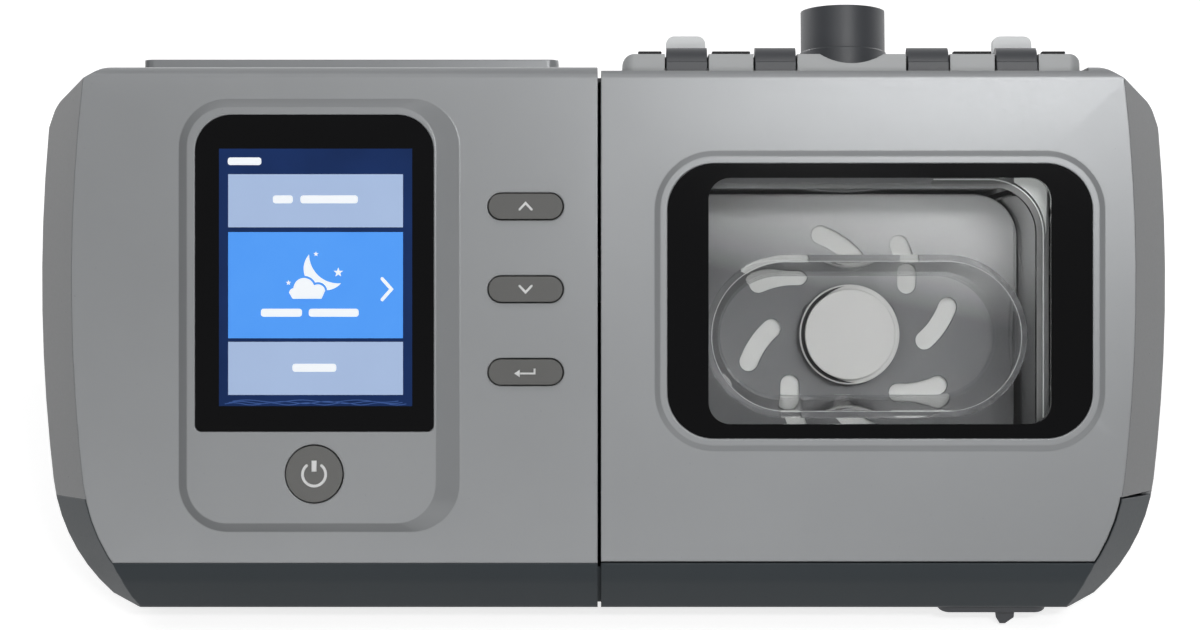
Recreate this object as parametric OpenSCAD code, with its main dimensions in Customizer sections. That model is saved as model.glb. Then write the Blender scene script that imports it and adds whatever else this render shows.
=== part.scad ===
/* [Overall size] */
// Width across the widest part of the sides
body_w = 290; // [275:1:305]
// Depth from the nose to the rear wall
body_d = 180; // [174:1:200]
// Lean of the control face back from upright, in degrees
lean = 30; // [28:0.5:32]
// Height of the control face, measured along it
face_h = 124.8; // [122:0.2:130]
// Height of the nose crease above the table
nose_z = 24.9; // [23.5:0.1:27]
// Wall of the outer mouldings
wall = 2.4; // [2:0.1:2.8]
// Height of the rubber feet
foot_h = 3; // [2:0.1:4]
// Distance of the seam between the units left of the middle
seam_off = 1.1; // [0:0.1:4]
// Gap between the two units at the seam
seam_gap = 0.85; // [0.5:0.05:1.2]

/* [Side and nose shape] */
// Depth of the slanted side bands behind the face
bevel_d = 22; // [18:0.5:25]
// Slant of the side bands, in degrees
bevel_a = 27; // [20:1:32]
// Radius of the long curve of the sides
side_r = 438; // [350:1:600]
// Height on the face where the sides are widest
wide_v = 71; // [60:1:80]
// Height on the face where the lower corner begins
corner_v = 20; // [17:1:26]
// Radius of the lower corners
corner_r = 46; // [38:1:50]
// Drop of the chin below the crease
chin_v = 12.7; // [10:0.1:14]
// Height of the dark cheeks on the side bands
cheek_v = 16; // [12:0.5:18]
// Radius of the rear upper edge
rear_r = 20; // [12:1:24]
// Radius of the rear upright corners
plan_r = 24; // [16:1:28]

/* [Screen and keys] */
// Width of the screen glass
glass_w = 59.6; // [56:0.1:62]
// Height of the screen glass
glass_h = 79.2; // [76:0.1:82]
// Thickness of the screen glass
glass_t = 1.4; // [1:0.1:1.8]
// Middle of the screen, left of the middle of the machine
screen_u = 72.5; // [71:0.1:75]
// Lower edge of the glass above the crease
glass_v = 33.2; // [32:0.1:36]
// Height of the raised pad round the screen
pad_t = 2.5; // [1.5:0.1:3.5]
// Radius of the power key
power_r = 7.1; // [6:0.1:9]
// Height of the power key above the crease
power_v = 22.5; // [21:0.1:24]
// Width of a small key
key_w = 18.6; // [14:0.1:21]
// Height of a small key
key_h = 6.4; // [5:0.1:9]
// Middle of the small keys, left of the middle of the machine
key_u = 19.6; // [18:0.1:23]
// Height of the lowest small key above the crease
key_v = 48; // [44:0.5:52]
// Spacing of the small keys
key_pitch = 20.8; // [17:0.1:22]
// Travel of every key
key_travel = 0.9; // [0.6:0.1:1.2]
// Clearance round a key
key_gap = 0.3; // [0.2:0.05:0.45]

/* [Window and lid] */
// Width of the black window frame
frame_w = 106.6; // [102:0.1:110]
// Height of the black window frame
frame_h = 68.9; // [66:0.1:72]
// Lower edge of the window frame above the crease
frame_v = 31.4; // [29:0.1:34]
// Middle of the window frame, right of the middle of the machine
frame_u = 69.4; // [67:0.1:71]
// Width of the black border on the left and right of the clear opening
border_u = 10.25; // [9:0.05:12]
// Width of the black border above and below the clear opening
border_v = 3.5; // [3:0.1:5]
// Clearance between the lid and its neighbours
lid_gap = 0.4; // [0.3:0.05:0.6]
// Radius of the hinge rod
pin_r = 1.3; // [1.2:0.1:1.8]
// Width of a hinge knuckle
knuckle_w = 10.3; // [8:0.1:12]
// Distance of the inner hinge knuckles from the middle of the hinge
knuckle_near = 19.3; // [18:0.1:21]
// Distance of the outer hinge knuckles from the middle of the hinge
knuckle_far = 41.7; // [38:0.1:44]
// Length of the deck outside the outer knuckles
deck_end = 16.3; // [14:0.1:18]
// Distance of the middle of the hinge from the right side
hinge_in = 82.3; // [80:0.1:86]
// Height of the hinge rod above the top of the face
hinge_up = 1.5; // [1:0.1:2]
// Depth of the hinge rod behind the face
hinge_back = 8; // [7:0.1:9]
// Travel of the latch slider
latch_travel = 7.2; // [6:0.1:8]

/* [Air path] */
// Outer radius of the air outlet, for a 22 mm connector
outlet_r = 11; // [11:0.05:11.1]
// Bore radius of the air outlet
outlet_bore = 9; // [8:0.1:9.4]
// Height of the outlet above the deck
outlet_h = 14; // [12:0.5:20]
// Outlet lean behind the face, in degrees
outlet_a = 5.3; // [0:0.1:7]
// Bore radius of the docking port
port_r = 8.5; // [7:0.1:9]
// Radius of the blower impeller
impeller_r = 29; // [24:0.5:30]
// Height of the impeller blades
blade_h = 9; // [7:0.5:10]
// Number of impeller blades
blades = 11; // [7:1:13]

/* [Water tank] */
// Wall of the clear tank
tank_wall = 2; // [1.6:0.1:2.4]
// Distance of the tank's left side from the seam
tank_in = 11.1; // [10:0.1:14]
// Distance of the tank's right side from the outer side
tank_side = 33; // [32:0.5:36]
// Distance of the tank's rear from the rear wall
tank_back = 50; // [46:0.5:56]
// Width of the grip recess
recess_w = 78.6; // [72:0.2:80]
// Height of the grip recess
recess_h = 37.9; // [34:0.2:40]
// Depth of the grip recess
recess_d = 33; // [24:0.5:35]
// Distance of the grip recess from the tank's right side
recess_in = 5.8; // [5:0.1:8]
// Radius of the fill cap
cap_r = 11.9; // [10:0.1:12.5]

/* [Hidden] */
$fn = 96;

eps = 0.01;
big = 400;
half_w = body_w / 2;
front_y = -body_d / 2;
floor_z = foot_h + wall;
seam_l = -seam_off - seam_gap / 2;
seam_r = -seam_off + seam_gap / 2;
arc_step = 6;
fit = 0.15;

// Point of the (Y, Z) plane for a height v and a distance w in front of the control face
function yz(v, w) = [
    front_y + v * sin(lean) - w * cos(lean),
    nose_z + v * cos(lean) + w * sin(lean)
];
part_z = yz(cheek_v, -bevel_d)[1];

// Plane geometry
function unit(a) = a / norm(a);
function left_of(a) = [-a[1], a[0]];
function turned(a, t) = [a[0] * cos(t) - a[1] * sin(t), a[0] * sin(t) + a[1] * cos(t)];
// Convex outline, anticlockwise, moved inwards by e
function inset(pts, e) = [
    for (i = [0:len(pts) - 1])
        let (p = pts[i],
            a = left_of(unit(p - pts[(i + len(pts) - 1) % len(pts)])),
            b = left_of(unit(pts[(i + 1) % len(pts)] - p)))
        p + e * (a + b) / (1 + a * b)
];
// Arc of radius r in the corner p1
function corner_arc(p0, p1, p2, r) =
    let (a = unit(p0 - p1), b = unit(p2 - p1), inner = acos(a * b), turn = 180 - inner,
        c = p1 + unit(a + b) * r / sin(inner / 2), s = p1 + a * r / tan(inner / 2) - c,
        side = cross(p1 - p0, p2 - p1) > 0 ? 1 : -1, n = max(1, ceil(turn / arc_step)))
    [for (k = [0:n]) c + turned(s, side * turn * k / n)];
// Outline with each corner rounded to its own radius
function rounded(pts, rs) = [
    for (i = [0:len(pts) - 1])
        each (rs[i] > 0.05
            ? corner_arc(pts[(i + len(pts) - 1) % len(pts)], pts[i], pts[(i + 1) % len(pts)], rs[i])
            : [pts[i]])
];
function box_pts(x0, y0, x1, y1) = [[x0, y0], [x1, y0], [x1, y1], [x0, y1]];

// Frames of reference
module on_face() {
    translate([0, front_y, nose_z])
        rotate([90 - lean, 0, 0])
            children();
}
module along_x(x0, x1) {
    translate([x0, 0, 0])
        rotate([90, 0, 90])
            linear_extrude(x1 - x0)
                children();
}
// Slab between two depths behind the face, seen from the front
module slab(w0, w1) {
    translate([0, 0, w0])
        linear_extrude(w1 - w0)
            children();
}
module round_box(x0, y0, x1, y1, r) {
    polygon(rounded(box_pts(x0, y0, x1, y1), [r, r, r, r]));
}
module pill(x, y, w, h) {
    translate([x - (w - h) / 2, y])
        circle(d = h);
    translate([x + (w - h) / 2, y])
        circle(d = h);
    translate([x - (w - h) / 2, y - h / 2])
        square([w - h, h]);
}
// Cylinder from p to q
module rod(p, q, r) {
    d = q - p;
    translate(p)
        rotate([0, acos(d[2] / norm(d)), atan2(d[1], d[0])])
            cylinder(r = r, h = norm(d));
}
module ring(r_out, r_in, h) {
    difference() {
        cylinder(r = r_out, h = h);
        translate([0, 0, -1])
            cylinder(r = r_in, h = h + 2);
    }
}

// Outer form: right side curve as points (u, v), with the half width at each height
side_c = [half_w - side_r, wide_v];
phi = asin((wide_v - corner_v) / side_r);
low_c = side_c + (side_r - corner_r) * [cos(phi), -sin(phi)];
function side_curve(e) = concat(
    [for (a = [11:-1.5:-phi + 0.3]) side_c + (side_r - e) * [cos(a), sin(a)]],
    [for (a = [phi:6:84]) low_c + (corner_r - e) * [cos(a), -sin(a)]]
);
module side_region(e, squeeze, shift, x_in) {
    pts = side_curve(e);
    low = pts[len(pts) - 1];
    polygon(concat(
        [for (p = pts) [(p[0] - half_w) * squeeze, shift[0] + p[1] * shift[1]]],
        [[x_in, shift[0] + low[1] * shift[1]], [x_in, shift[0] + pts[0][1] * shift[1]]]
    ));
}
// Slanted side band on the right, behind which the sides run straight back
module band_cut(e) {
    translate([half_w, 0, -bevel_d])
        rotate([0, -bevel_a, 0])
            translate([0, 0, -big])
                linear_extrude(2 * big)
                    side_region(e / cos(bevel_a), cos(bevel_a), [0, 1], -big);
}
module rear_sides(e) {
    z_mid = nose_z - bevel_d * sin(lean);
    translate([half_w, big, 0])
        rotate([90, 0, 0])
            linear_extrude(2 * big)
                side_region(e, 1, [z_mid, cos(lean)], -big);
}
// Top edge with slanted corners, seen from the front
top_pts = [
    [-half_w - 30, -60], [half_w + 30, -60], [half_w + 30, face_h - 62],
    [half_w - 0.5, face_h - 16.8], [half_w - 4.4, face_h - 8.6], [half_w - 19, face_h],
    [19 - half_w, face_h], [4.4 - half_w, face_h - 8.6], [0.5 - half_w, face_h - 16.8],
    [-half_w - 30, face_h - 62]
];
module top_region(e) {
    r = [0, 0, 0, 8 - e, 8 - e, 8 - e, 8 - e, 8 - e, 8 - e, 0];
    polygon(rounded(inset(top_pts, e), r));
}
// Side view outline as points (Y, Z)
function roof_z(y) = yz(face_h, 0)[1] - (y - yz(face_h, 0)[0]) * tan(lean);
roof_rear = [body_d / 2, roof_z(body_d / 2)];
side_view = [
    yz(0, 0), yz(-4.6, -3), yz(-chin_v, -chin_v), [front_y + 30, foot_h],
    [body_d / 2, foot_h], roof_rear, yz(face_h, 0)
];
module side_region_yz(e) {
    r = [0.6, 12 - e, 3, 0, 4 - e, rear_r - e, 3 - e];
    polygon(rounded(inset(side_view, e), r));
}
// Plan outline, drawn in slightly towards the rear
plan_pts = [
    [-half_w - 3.5, front_y - 5], [half_w + 3.5, front_y - 5], [half_w + 3.5, -60],
    [half_w - 3.5, body_d / 2], [3.5 - half_w, body_d / 2], [-half_w - 3.5, -60]
];
module plan_region(e) {
    r = [0, 0, 0, plan_r - e, plan_r - e, 0];
    polygon(rounded(inset(plan_pts, e), r));
}
module body_form(e) {
    intersection() {
        along_x(-big, big)
            side_region_yz(e);
        on_face()
            slab(-big, 50)
                top_region(e);
        on_face()
            band_cut(e);
        on_face()
            mirror([1, 0, 0])
                band_cut(e);
        rear_sides(e);
        mirror([1, 0, 0])
            rear_sides(e);
        linear_extrude(300)
            plan_region(e);
    }
}
module left_half(e) {
    translate([-big, -big, -50])
        cube([big + seam_l - e, 2 * big, 400]);
}
module right_half(e) {
    translate([seam_r + e, -big, -50])
        cube([big, 2 * big, 400]);
}
module left_shell() {
    difference() {
        intersection() {
            body_form(0);
            left_half(0);
        }
        intersection() {
            body_form(wall);
            left_half(wall);
        }
    }
}
module right_shell() {
    difference() {
        intersection() {
            body_form(0);
            right_half(0);
        }
        intersection() {
            body_form(wall);
            right_half(wall);
        }
    }
}
// Face outline inside the side bands, moved outwards by g
module face_region(g) {
    drop = bevel_d * tan(bevel_a) - g;
    intersection() {
        translate([half_w - drop, 0])
            side_region(0, 1, [0, 1], -2 * big);
        mirror([1, 0])
            translate([half_w - drop, 0])
                side_region(0, 1, [0, 1], -2 * big);
    }
}
// Space of the base trays: the chin, the cheeks and everything under the part line
module tray_zone() {
    on_face()
        slab(-bevel_d, 50)
            translate([-big, -60])
                square([2 * big, 60]);
    on_face()
        slab(-bevel_d, 50)
            difference() {
                translate([-big, -eps])
                    square([2 * big, cheek_v + eps]);
                face_region(0);
            }
    intersection() {
        translate([-big, -big, -50])
            cube([2 * big, 2 * big, 50 + part_z]);
        on_face()
            slab(-big, -bevel_d + eps)
                translate([-big, -big])
                    square(2 * big);
    }
}
// Space of the front mouldings, with clearance g
module front_zone(g) {
    on_face()
        difference() {
            slab(-bevel_d + g, 50)
                translate([-big, g])
                    square([2 * big, 200]);
            difference() {
                along_x(-big, big)
                    polygon([
                        [-50, -bevel_d - 5], [cheek_v + 3 * g, -bevel_d - 5],
                        [cheek_v + g, 5], [cheek_v + g, 60], [-50, 60]
                    ]);
                slab(-bevel_d - 10, 70)
                    face_region(-g);
            }
        }
}

// Screen, keys and window, seen from the front
glass_u = -screen_u;
glass_front = pad_t - 0.2;
lcd_w = glass_w - 10.8;
lcd_h = glass_h - 14.2;
lcd_v = glass_v + 6.2;
module glass_region(g) {
    w = glass_w / 2 + g;
    polygon(rounded(
        box_pts(glass_u - w, glass_v - g, glass_u + w, glass_v + glass_h + g),
        [1.5 + g, 1.5 + g, 9 + g, 9 + g]
    ));
}
key_places = [for (i = [0:2]) [-key_u, key_v + i * key_pitch]];
module key_region(i, g) {
    pill(key_places[i][0], key_places[i][1], key_w + 2 * g, key_h + 2 * g);
}
frame_l = frame_u - frame_w / 2;
module frame_region(g) {
    round_box(frame_l - g, frame_v - g, frame_l + frame_w + g, frame_v + frame_h + g, 11.6 + g);
}
view_w = frame_w - 2 * border_u;
view_h = frame_h - 2 * border_v;
view_l = frame_l + border_u;
view_v = frame_v + border_v;
module view_region(g) {
    round_box(view_l - g, view_v - g, view_l + view_w + g, view_v + view_h + g, 5.5 + g);
}

// Main unit
key_board_w = -11;
switch_h = 3.3;
switch_top = key_board_w + switch_h;
board_l = 20.7 - half_w;
boss_l = board_l + 4.3;
boss_r = -key_u - 8.4;
boss_places = [
    [boss_l, 60], [boss_l, 100], [boss_r, 110], [boss_r, 20], [glass_u + 8.5, power_v - 12.5]
];
cover_in = -wall;
screw_r = 1.6;
post_r = 3.6;
screw_in = 26;
lug_front = front_y + 70;
lug_rear = -front_y - 32;
main_lugs = [
    [screw_in - half_w, lug_front], [screw_in - half_w, lug_rear],
    [seam_l - 9, lug_front], [seam_l - 9, lug_rear - 18]
];
humid_lugs = [
    [half_w - screw_in, lug_front], [half_w - screw_in, lug_rear], [seam_r + 9, lug_rear - 8]
];
feet_places = [for (x = [30 - half_w, -28], y = [front_y + 40, -front_y - 20]) [x, y]];

module pad_shape(g) {
    u0 = glass_u - glass_w / 2 - 2.2 - g;
    u1 = glass_u + glass_w / 2 + 0.6 + g;
    polygon(rounded(
        box_pts(u0, 10.1 - g, u1 + g * 1.6, glass_v + glass_h + 2 + g),
        [10 + g, 10 + g, 10 + g, 10 + g]
    ));
}
module main_front_cover() {
    color("silver")
        difference() {
            union() {
                intersection() {
                    left_shell();
                    front_zone(0);
                }
                on_face()
                    hull() {
                        slab(-1.2, -0.8)
                            pad_shape(pad_t * 1.2);
                        slab(pad_t - 0.4, pad_t)
                            pad_shape(0);
                    }
                on_face()
                    for (p = boss_places)
                        translate([p[0], p[1], key_board_w])
                            cylinder(r = 3, h = -wall - key_board_w + 0.5);
            }
            on_face() {
                slab(glass_front - glass_t, pad_t + 1)
                    glass_region(fit);
                slab(-wall - 1, glass_front)
                    round_box(glass_u - lcd_w / 2 - 1.5, lcd_v - 1.5,
                        glass_u + lcd_w / 2 + 1.5, lcd_v + lcd_h + 1.5, 1);
                translate([glass_u, power_v, -20])
                    cylinder(r = power_r + key_gap, h = 40);
                for (i = [0:2])
                    slab(-20, 20)
                        key_region(i, key_gap);
                for (p = boss_places)
                    translate([p[0], p[1], key_board_w - 1])
                        cylinder(r = 1.1, h = 6);
            }
        }
}
module lug(x, y, side) {
    reach = side * 28;
    translate([min(x - (post_r - 0.2) * side, x + reach), y - 5, part_z])
        cube([28 + post_r - 0.2, 10, 4]);
}
// Lug plates under the part line, trimmed to the inside of the walls
module lugs(places, seam_side) {
    difference() {
        intersection() {
            body_form(wall * 0.5);
            for (p = places)
                lug(p[0], p[1], abs(p[0]) > 60 ? -seam_side : seam_side);
        }
        for (p = places)
            translate([p[0], p[1], part_z - 1])
                cylinder(r = screw_r - 0.15, h = 8);
    }
}
// Rib round the docking side of the humidifier, which enters a groove of the main unit
rib_in = 1.2;
rib_w = 1.2;
rib_d = 1;
module seam_rib(x0, x1, g) {
    along_x(x0, x1)
        difference() {
            side_region_yz(rib_in - g);
            side_region_yz(rib_in + rib_w + g);
        }
}
module seam_groove() {
    difference() {
        seam_rib(seam_l - rib_d - 0.3, seam_l + 1, 0.3);
        front_zone(-0.3);
    }
}
module docking_rib() {
    difference() {
        seam_rib(seam_l - rib_d, seam_r + wall / 2, 0);
        front_zone(-1);
    }
}
module main_rear_housing() {
    strip_l = 26.3 - half_w;
    strip_r = seam_l - 10.2;
    color("lightgray")
        difference() {
            union() {
                difference() {
                    left_shell();
                    tray_zone();
                    front_zone(-eps);
                }
                on_face()
                    translate([0, face_h - 0.5, 0])
                        rotate([90, 0, 0])
                            translate([0, 0, -4])
                                linear_extrude(4)
                                    polygon(rounded(
                                        [[strip_l, -bevel_d], [strip_l - 3, -bevel_d - 96],
                                            [strip_r, -bevel_d - 96], [strip_r, -bevel_d]],
                                        [3, 8, 8, 3]
                                    ));
                intersection() {
                    lugs(main_lugs, 1);
                    left_half(wall * 0.5);
                }
            }
            dock_holes(port_r + 3.2, wall * 1.5);
            door_space(0.3);
            inlet_space(fit);
            slot_space(0.3);
            side_vents();
            seam_groove();
        }
}
// Docking side of the main unit
port_y = body_d / 2 - 22;
port_z = part_z + 5.5;
tongue_places = [[-30, 14], [20, 14], [20, 52], [-18, 66]];
module dock_holes(r, depth) {
    translate([seam_l - depth, port_y, port_z])
        rotate([0, 90, 0])
            cylinder(r = r, h = depth + 1);
    for (p = tongue_places)
        translate([seam_l - depth, p[0] - 3.6, p[1] - 5.6])
            cube([depth + 1, 7.2, 11.2]);
}
module side_vents() {
    for (i = [0:6])
        translate([-half_w - 5, -4 + i * 8, part_z + 8])
            cube([20, 3.4, 16]);
}
// Filter door on the rear wall
door_x = -half_w + 34;
door_w = 42;
door_h = 20;
door_z = part_z + 3;
module door_space(g) {
    translate([door_x - g, body_d / 2 - wall - 1, door_z - g])
        cube([door_w + 2 * g, wall + 2, door_h + 2 * g]);
}
// Flap of thickness t whose lower edge is a round bead, on which it turns
module flap(x, y, z, w, h, t) {
    translate([x, y, z + t / 2])
        cube([w, t, h - t / 2]);
    translate([x, y + t / 2, z + t / 2])
        rotate([0, 90, 0])
            cylinder(r = t / 2, h = w);
}
module filter_door() {
    bar = 2.2;
    color("dimgray")
        difference() {
            flap(door_x, body_d / 2 - wall, door_z, door_w, door_h, wall - 0.4);
            for (i = [0:6])
                translate([door_x + 4 + i * 5, body_d / 2 - wall - 1, door_z + 5.5])
                    cube([5 - bar, wall + 2, door_h - 9]);
        }
}
module air_filter() {
    color("white")
        translate([door_x + 1, body_d / 2 - wall - 6.6, door_z - 1.5])
            cube([door_w - 2, 6, door_h + 3]);
}
// Card slot with its flap, on the rear wall
slot_w = 20;
slot_x = door_x + door_w + 3 + slot_w / 2;
slot_h = 10;
slot_z = part_z + 8;
module slot_space(g) {
    translate([slot_x - slot_w / 2 - g, body_d / 2 - 1.6, slot_z - g])
        cube([slot_w + 2 * g, 3, slot_h + 2 * g]);
    translate([slot_x - slot_w / 2 + 2, body_d / 2 - wall - 1, slot_z + 3])
        cube([slot_w - 4, 5, 3.4]);
}
module card_slot_cover() {
    color("dimgray")
        flap(slot_x - slot_w / 2, body_d / 2 - 1.4, slot_z, slot_w, slot_h, 1.2);
}
// Power inlet on the rear wall, near the seam
inlet_r = 5.5;
inlet_x = slot_x + slot_w / 2 + 16;
module inlet_space(g) {
    translate([inlet_x, body_d / 2 - wall - 1, part_z + 11])
        rotate([-90, 0, 0])
            cylinder(r = inlet_r + g, h = wall + 2);
}
module power_inlet() {
    color("black")
        translate([inlet_x, body_d / 2, part_z + 11])
            rotate([90, 0, 0]) {
                difference() {
                    union() {
                        cylinder(r = inlet_r, h = wall + 0.2);
                        translate([0, 0, wall])
                            cylinder(r = inlet_r + 1.5, h = 9);
                    }
                    translate([0, 0, -1])
                        cylinder(r = inlet_r - 2, h = 9);
                }
                cylinder(r = 1.05, h = 9);
            }
}
module tray_shell(side) {
    intersection() {
        if (side < 0)
            left_shell();
        else
            right_shell();
        tray_zone();
    }
}
module screw_posts(places) {
    for (p = places)
        translate([p[0], p[1], foot_h + 1])
            difference() {
                cylinder(r = post_r, h = part_z - foot_h - 1);
                translate([0, 0, -2])
                    cylinder(r = screw_r + 0.2, h = part_z + 4);
            }
}
module screw_heads(places) {
    for (p = places) {
        translate([p[0], p[1], -1])
            cylinder(r = 2.8, h = foot_h + 2.4);
        translate([p[0], p[1], -1])
            cylinder(r = screw_r + 0.2, h = part_z);
    }
}
module foot_sockets(mirror_x) {
    for (p = feet_places)
        translate([mirror_x * p[0], p[1], foot_h - 1])
            cylinder(r = 6.2, h = 2);
}
module main_base_tray() {
    color("darkslategray")
        difference() {
            union() {
                tray_shell(-1);
                intersection() {
                    screw_posts(main_lugs);
                    body_form(wall / 2);
                }
                for (p = board_posts)
                    translate([p[0], p[1], foot_h + 1])
                        cylinder(r = 3, h = board_z - foot_h - 1);
                for (p = mount_places)
                    translate([p[0], p[1], foot_h + 1])
                        cylinder(r = 5.5, h = mount_z - foot_h - 1);
            }
            screw_heads(main_lugs);
            foot_sockets(1);
            for (i = [0:8])
                translate([-half_w + 62 + i * 6, board_y + 34, foot_h - 2])
                    cube([2.6, 22, wall + 4]);
            dock_holes(port_r + 3.2, wall * 1.5);
            seam_groove();
        }
}
module screen_glass() {
    color("black")
        on_face()
            slab(glass_front - glass_t, glass_front)
                glass_region(0);
}
module display_panel() {
    color("navy")
        on_face()
            slab(glass_front - glass_t - 4.2, glass_front - glass_t)
                round_box(glass_u - lcd_w / 2 - 1, lcd_v - 1,
                    glass_u + lcd_w / 2 + 1, lcd_v + lcd_h + 1, 0.6);
}
module control_board() {
    color("darkgreen")
        on_face() {
            difference() {
                slab(key_board_w - board_t, key_board_w)
                    round_box(board_l, 5, -key_u + 10, glass_v + glass_h + 2, 3);
                for (p = boss_places)
                    translate([p[0], p[1], key_board_w - 3])
                        cylinder(r = 1.1, h = 6);
            }
            slab(key_board_w, glass_front - glass_t - 4.2)
                round_box(glass_u - 20, lcd_v + 10, glass_u + 20, lcd_v + 40, 2);
        }
}
module board_screws() {
    color("silver")
        on_face()
            for (p = boss_places)
                translate([p[0], p[1], key_board_w - 2.8])
                    difference() {
                        union() {
                            cylinder(r = 2.1, h = 1.2);
                            cylinder(r = 1, h = 6.4);
                        }
                        translate([0, 0, -1])
                            cylinder(r = 0.9, h = 1.7, $fn = 6);
                    }
}
module key_switches() {
    color("gainsboro")
        on_face()
            for (p = concat(key_places, [[glass_u, power_v]]))
                translate([p[0], p[1], key_board_w]) {
                    translate([-3, -3, 0])
                        cube([6, 6, switch_h - 1]);
                    cylinder(r = 1.7, h = switch_h);
                }
}
key_front = 1.6;
stem_end = switch_top + key_travel + 0.3;
module small_key(i) {
    color("dimgray")
        on_face() {
            slab(cover_in - 0.3, key_front)
                key_region(i, 0);
            slab(cover_in - 1.5, cover_in - 0.3)
                key_region(i, 1.4);
            translate([key_places[i][0], key_places[i][1], stem_end])
                cylinder(r = 1.9, h = cover_in - 1.4 - stem_end);
        }
}
module enter_button() {
    small_key(0);
}
module down_button() {
    small_key(1);
}
module up_button() {
    small_key(2);
}
module power_button() {
    color("dimgray")
        on_face()
            translate([glass_u, power_v, 0]) {
                translate([0, 0, cover_in - 0.3])
                    cylinder(r = power_r, h = pad_t + 1 - cover_in);
                translate([0, 0, cover_in - 1.5])
                    cylinder(r = power_r + 1.4, h = 1.2);
                translate([0, 0, stem_end])
                    cylinder(r = 2.2, h = cover_in - 1.4 - stem_end);
            }
}

// Blower, with its scroll opening towards the docking side
fan_x = seam_l - 81.5;
fan_y = port_y - 42;
mount_z = foot_h + 4;
mount_h = 5;
scroll_z = mount_z + mount_h + 4.6;
fan_z = scroll_z + 3;
scroll_top = fan_z + blade_h + 1.2;
scroll_gap = 4;
scroll_grow = 9;
mount_places = [for (a = [45:90:315]) [fan_x + 27 * cos(a), fan_y + 27 * sin(a)]];
function scroll_r(a) = impeller_r + scroll_gap + scroll_grow * a / 360;
module scroll_region(g) {
    polygon([for (a = [0:6:360])
        (scroll_r(a) + g) * [cos(90 - a), sin(90 - a)]]);
    // Outlet throat, tangent to the widest part of the scroll
    translate([0, impeller_r - 2 - g])
        square([duct_x - fan_x, scroll_r(360) - impeller_r + 2 + 2 * g]);
}
duct_x = fan_x + 44;
elbow_x = duct_x + 20;
duct_y = fan_y + (impeller_r - 2 + scroll_r(360)) / 2;
module blower_housing() {
    color("whitesmoke") {
        translate([fan_x, fan_y, scroll_z])
            difference() {
                linear_extrude(scroll_top - scroll_z)
                    scroll_region(2);
                translate([0, 0, 2])
                    linear_extrude(scroll_top)
                        scroll_region(0);
                translate([0, 0, -1])
                    cylinder(r = 4, h = 5);
                translate([duct_x - fan_x - 1, impeller_r - 2, 2])
                    cube([4, scroll_r(360) - impeller_r + 2, scroll_top]);
            }
        for (p = mount_places)
            translate([p[0], p[1], mount_z + mount_h])
                cylinder(r = 4, h = scroll_z - mount_z - mount_h);
    }
}
module blower_cover() {
    color("whitesmoke")
        translate([fan_x, fan_y, scroll_top]) {
            difference() {
                linear_extrude(2)
                    scroll_region(2);
                translate([0, 0, -1])
                    cylinder(r = 15, h = 4);
            }
            rotate_extrude()
                polygon(rounded([[15, 0], [17, 0], [17, 4], [20, 6], [18, 6], [15, 4]],
                    [0, 0, 2, 0, 0, 3]));
        }
}
module blower_motor() {
    color("silver")
        translate([fan_x, fan_y, 0]) {
            translate([0, 0, foot_h + wall + 0.3])
                cylinder(r = 17, h = scroll_z - foot_h - wall - 0.3);
            translate([0, 0, scroll_z - eps])
                cylinder(r = shaft_r, h = blade_h + 2.5);
        }
}
shaft_r = 1.5;
module blower_impeller() {
    hub_r = 7;
    color("lightslategray")
        translate([fan_x, fan_y, fan_z])
            difference() {
                union() {
                    cylinder(r = impeller_r, h = 1.2);
                    cylinder(r = hub_r, h = blade_h);
                    for (i = [0:blades - 1])
                        rotate([0, 0, i * 360 / blades])
                            translate([0, 0, 0.6])
                                linear_extrude(blade_h - 0.9)
                                    blade_region();
                }
                translate([0, 0, -1])
                    cylinder(r = shaft_r + 0.05, h = blade_h + 3);
            }
}
// One backward-curved blade, a short arc that leaves the hub nearly radially
module blade_region() {
    r = impeller_r * 0.75;
    turns = [for (t = [14:6:80]) [sin(t), cos(t)]];
    n = len(turns) - 1;
    translate([0, 1 - r])
        polygon(concat(
            [for (k = [0:n]) (r - 0.5) * turns[k]],
            [for (k = [n:-1:0]) (r + 0.5) * turns[k]]
        ));
}
module blower_mounts() {
    color("black")
        for (p = mount_places)
            translate([p[0], p[1], mount_z])
                cylinder(r = 4.5, h = mount_h);
}
module outlet_duct() {
    mouth_h = scroll_top - scroll_z;
    mouth_w = scroll_r(360) - impeller_r + 6;
    color("dimgray")
        difference() {
            union() {
                translate([duct_x, duct_y - mouth_w / 2, scroll_z])
                    cube([8, mouth_w, mouth_h + 2]);
                rod([duct_x + 7.5, duct_y, scroll_z + mouth_h / 2 + 1],
                    [elbow_x, port_y, port_z], port_r + 1.6);
                translate([elbow_x, port_y, port_z])
                    sphere(r = port_r + 1.7);
                rod([elbow_x, port_y, port_z], [seam_l - 7, port_y, port_z], port_r + 1.6);
            }
            translate([duct_x - 1, duct_y - mouth_w / 2 + 4, scroll_z + 2])
                cube([5, mouth_w - 8, mouth_h - 3]);
            rod([duct_x + 3, duct_y, scroll_z + mouth_h / 2 + 1],
                [elbow_x, port_y, port_z], port_r - 3.4);
            rod([elbow_x, port_y, port_z], [seam_l + 1, port_y, port_z], port_r);
        }
}
module dock_seal() {
    color("black")
        translate([seam_l - 7, port_y, port_z])
            rotate([0, 90, 0]) {
                ring(port_r + 3, port_r - 0.5, 6.6);
            }
}
board_t = 1.6;
board_z = floor_z + 3;
board_y = front_y + 18;
board_posts = [for (x = [-half_w + 40, -24], y = [board_y + 6, board_y + 26]) [x, y]];
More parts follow.
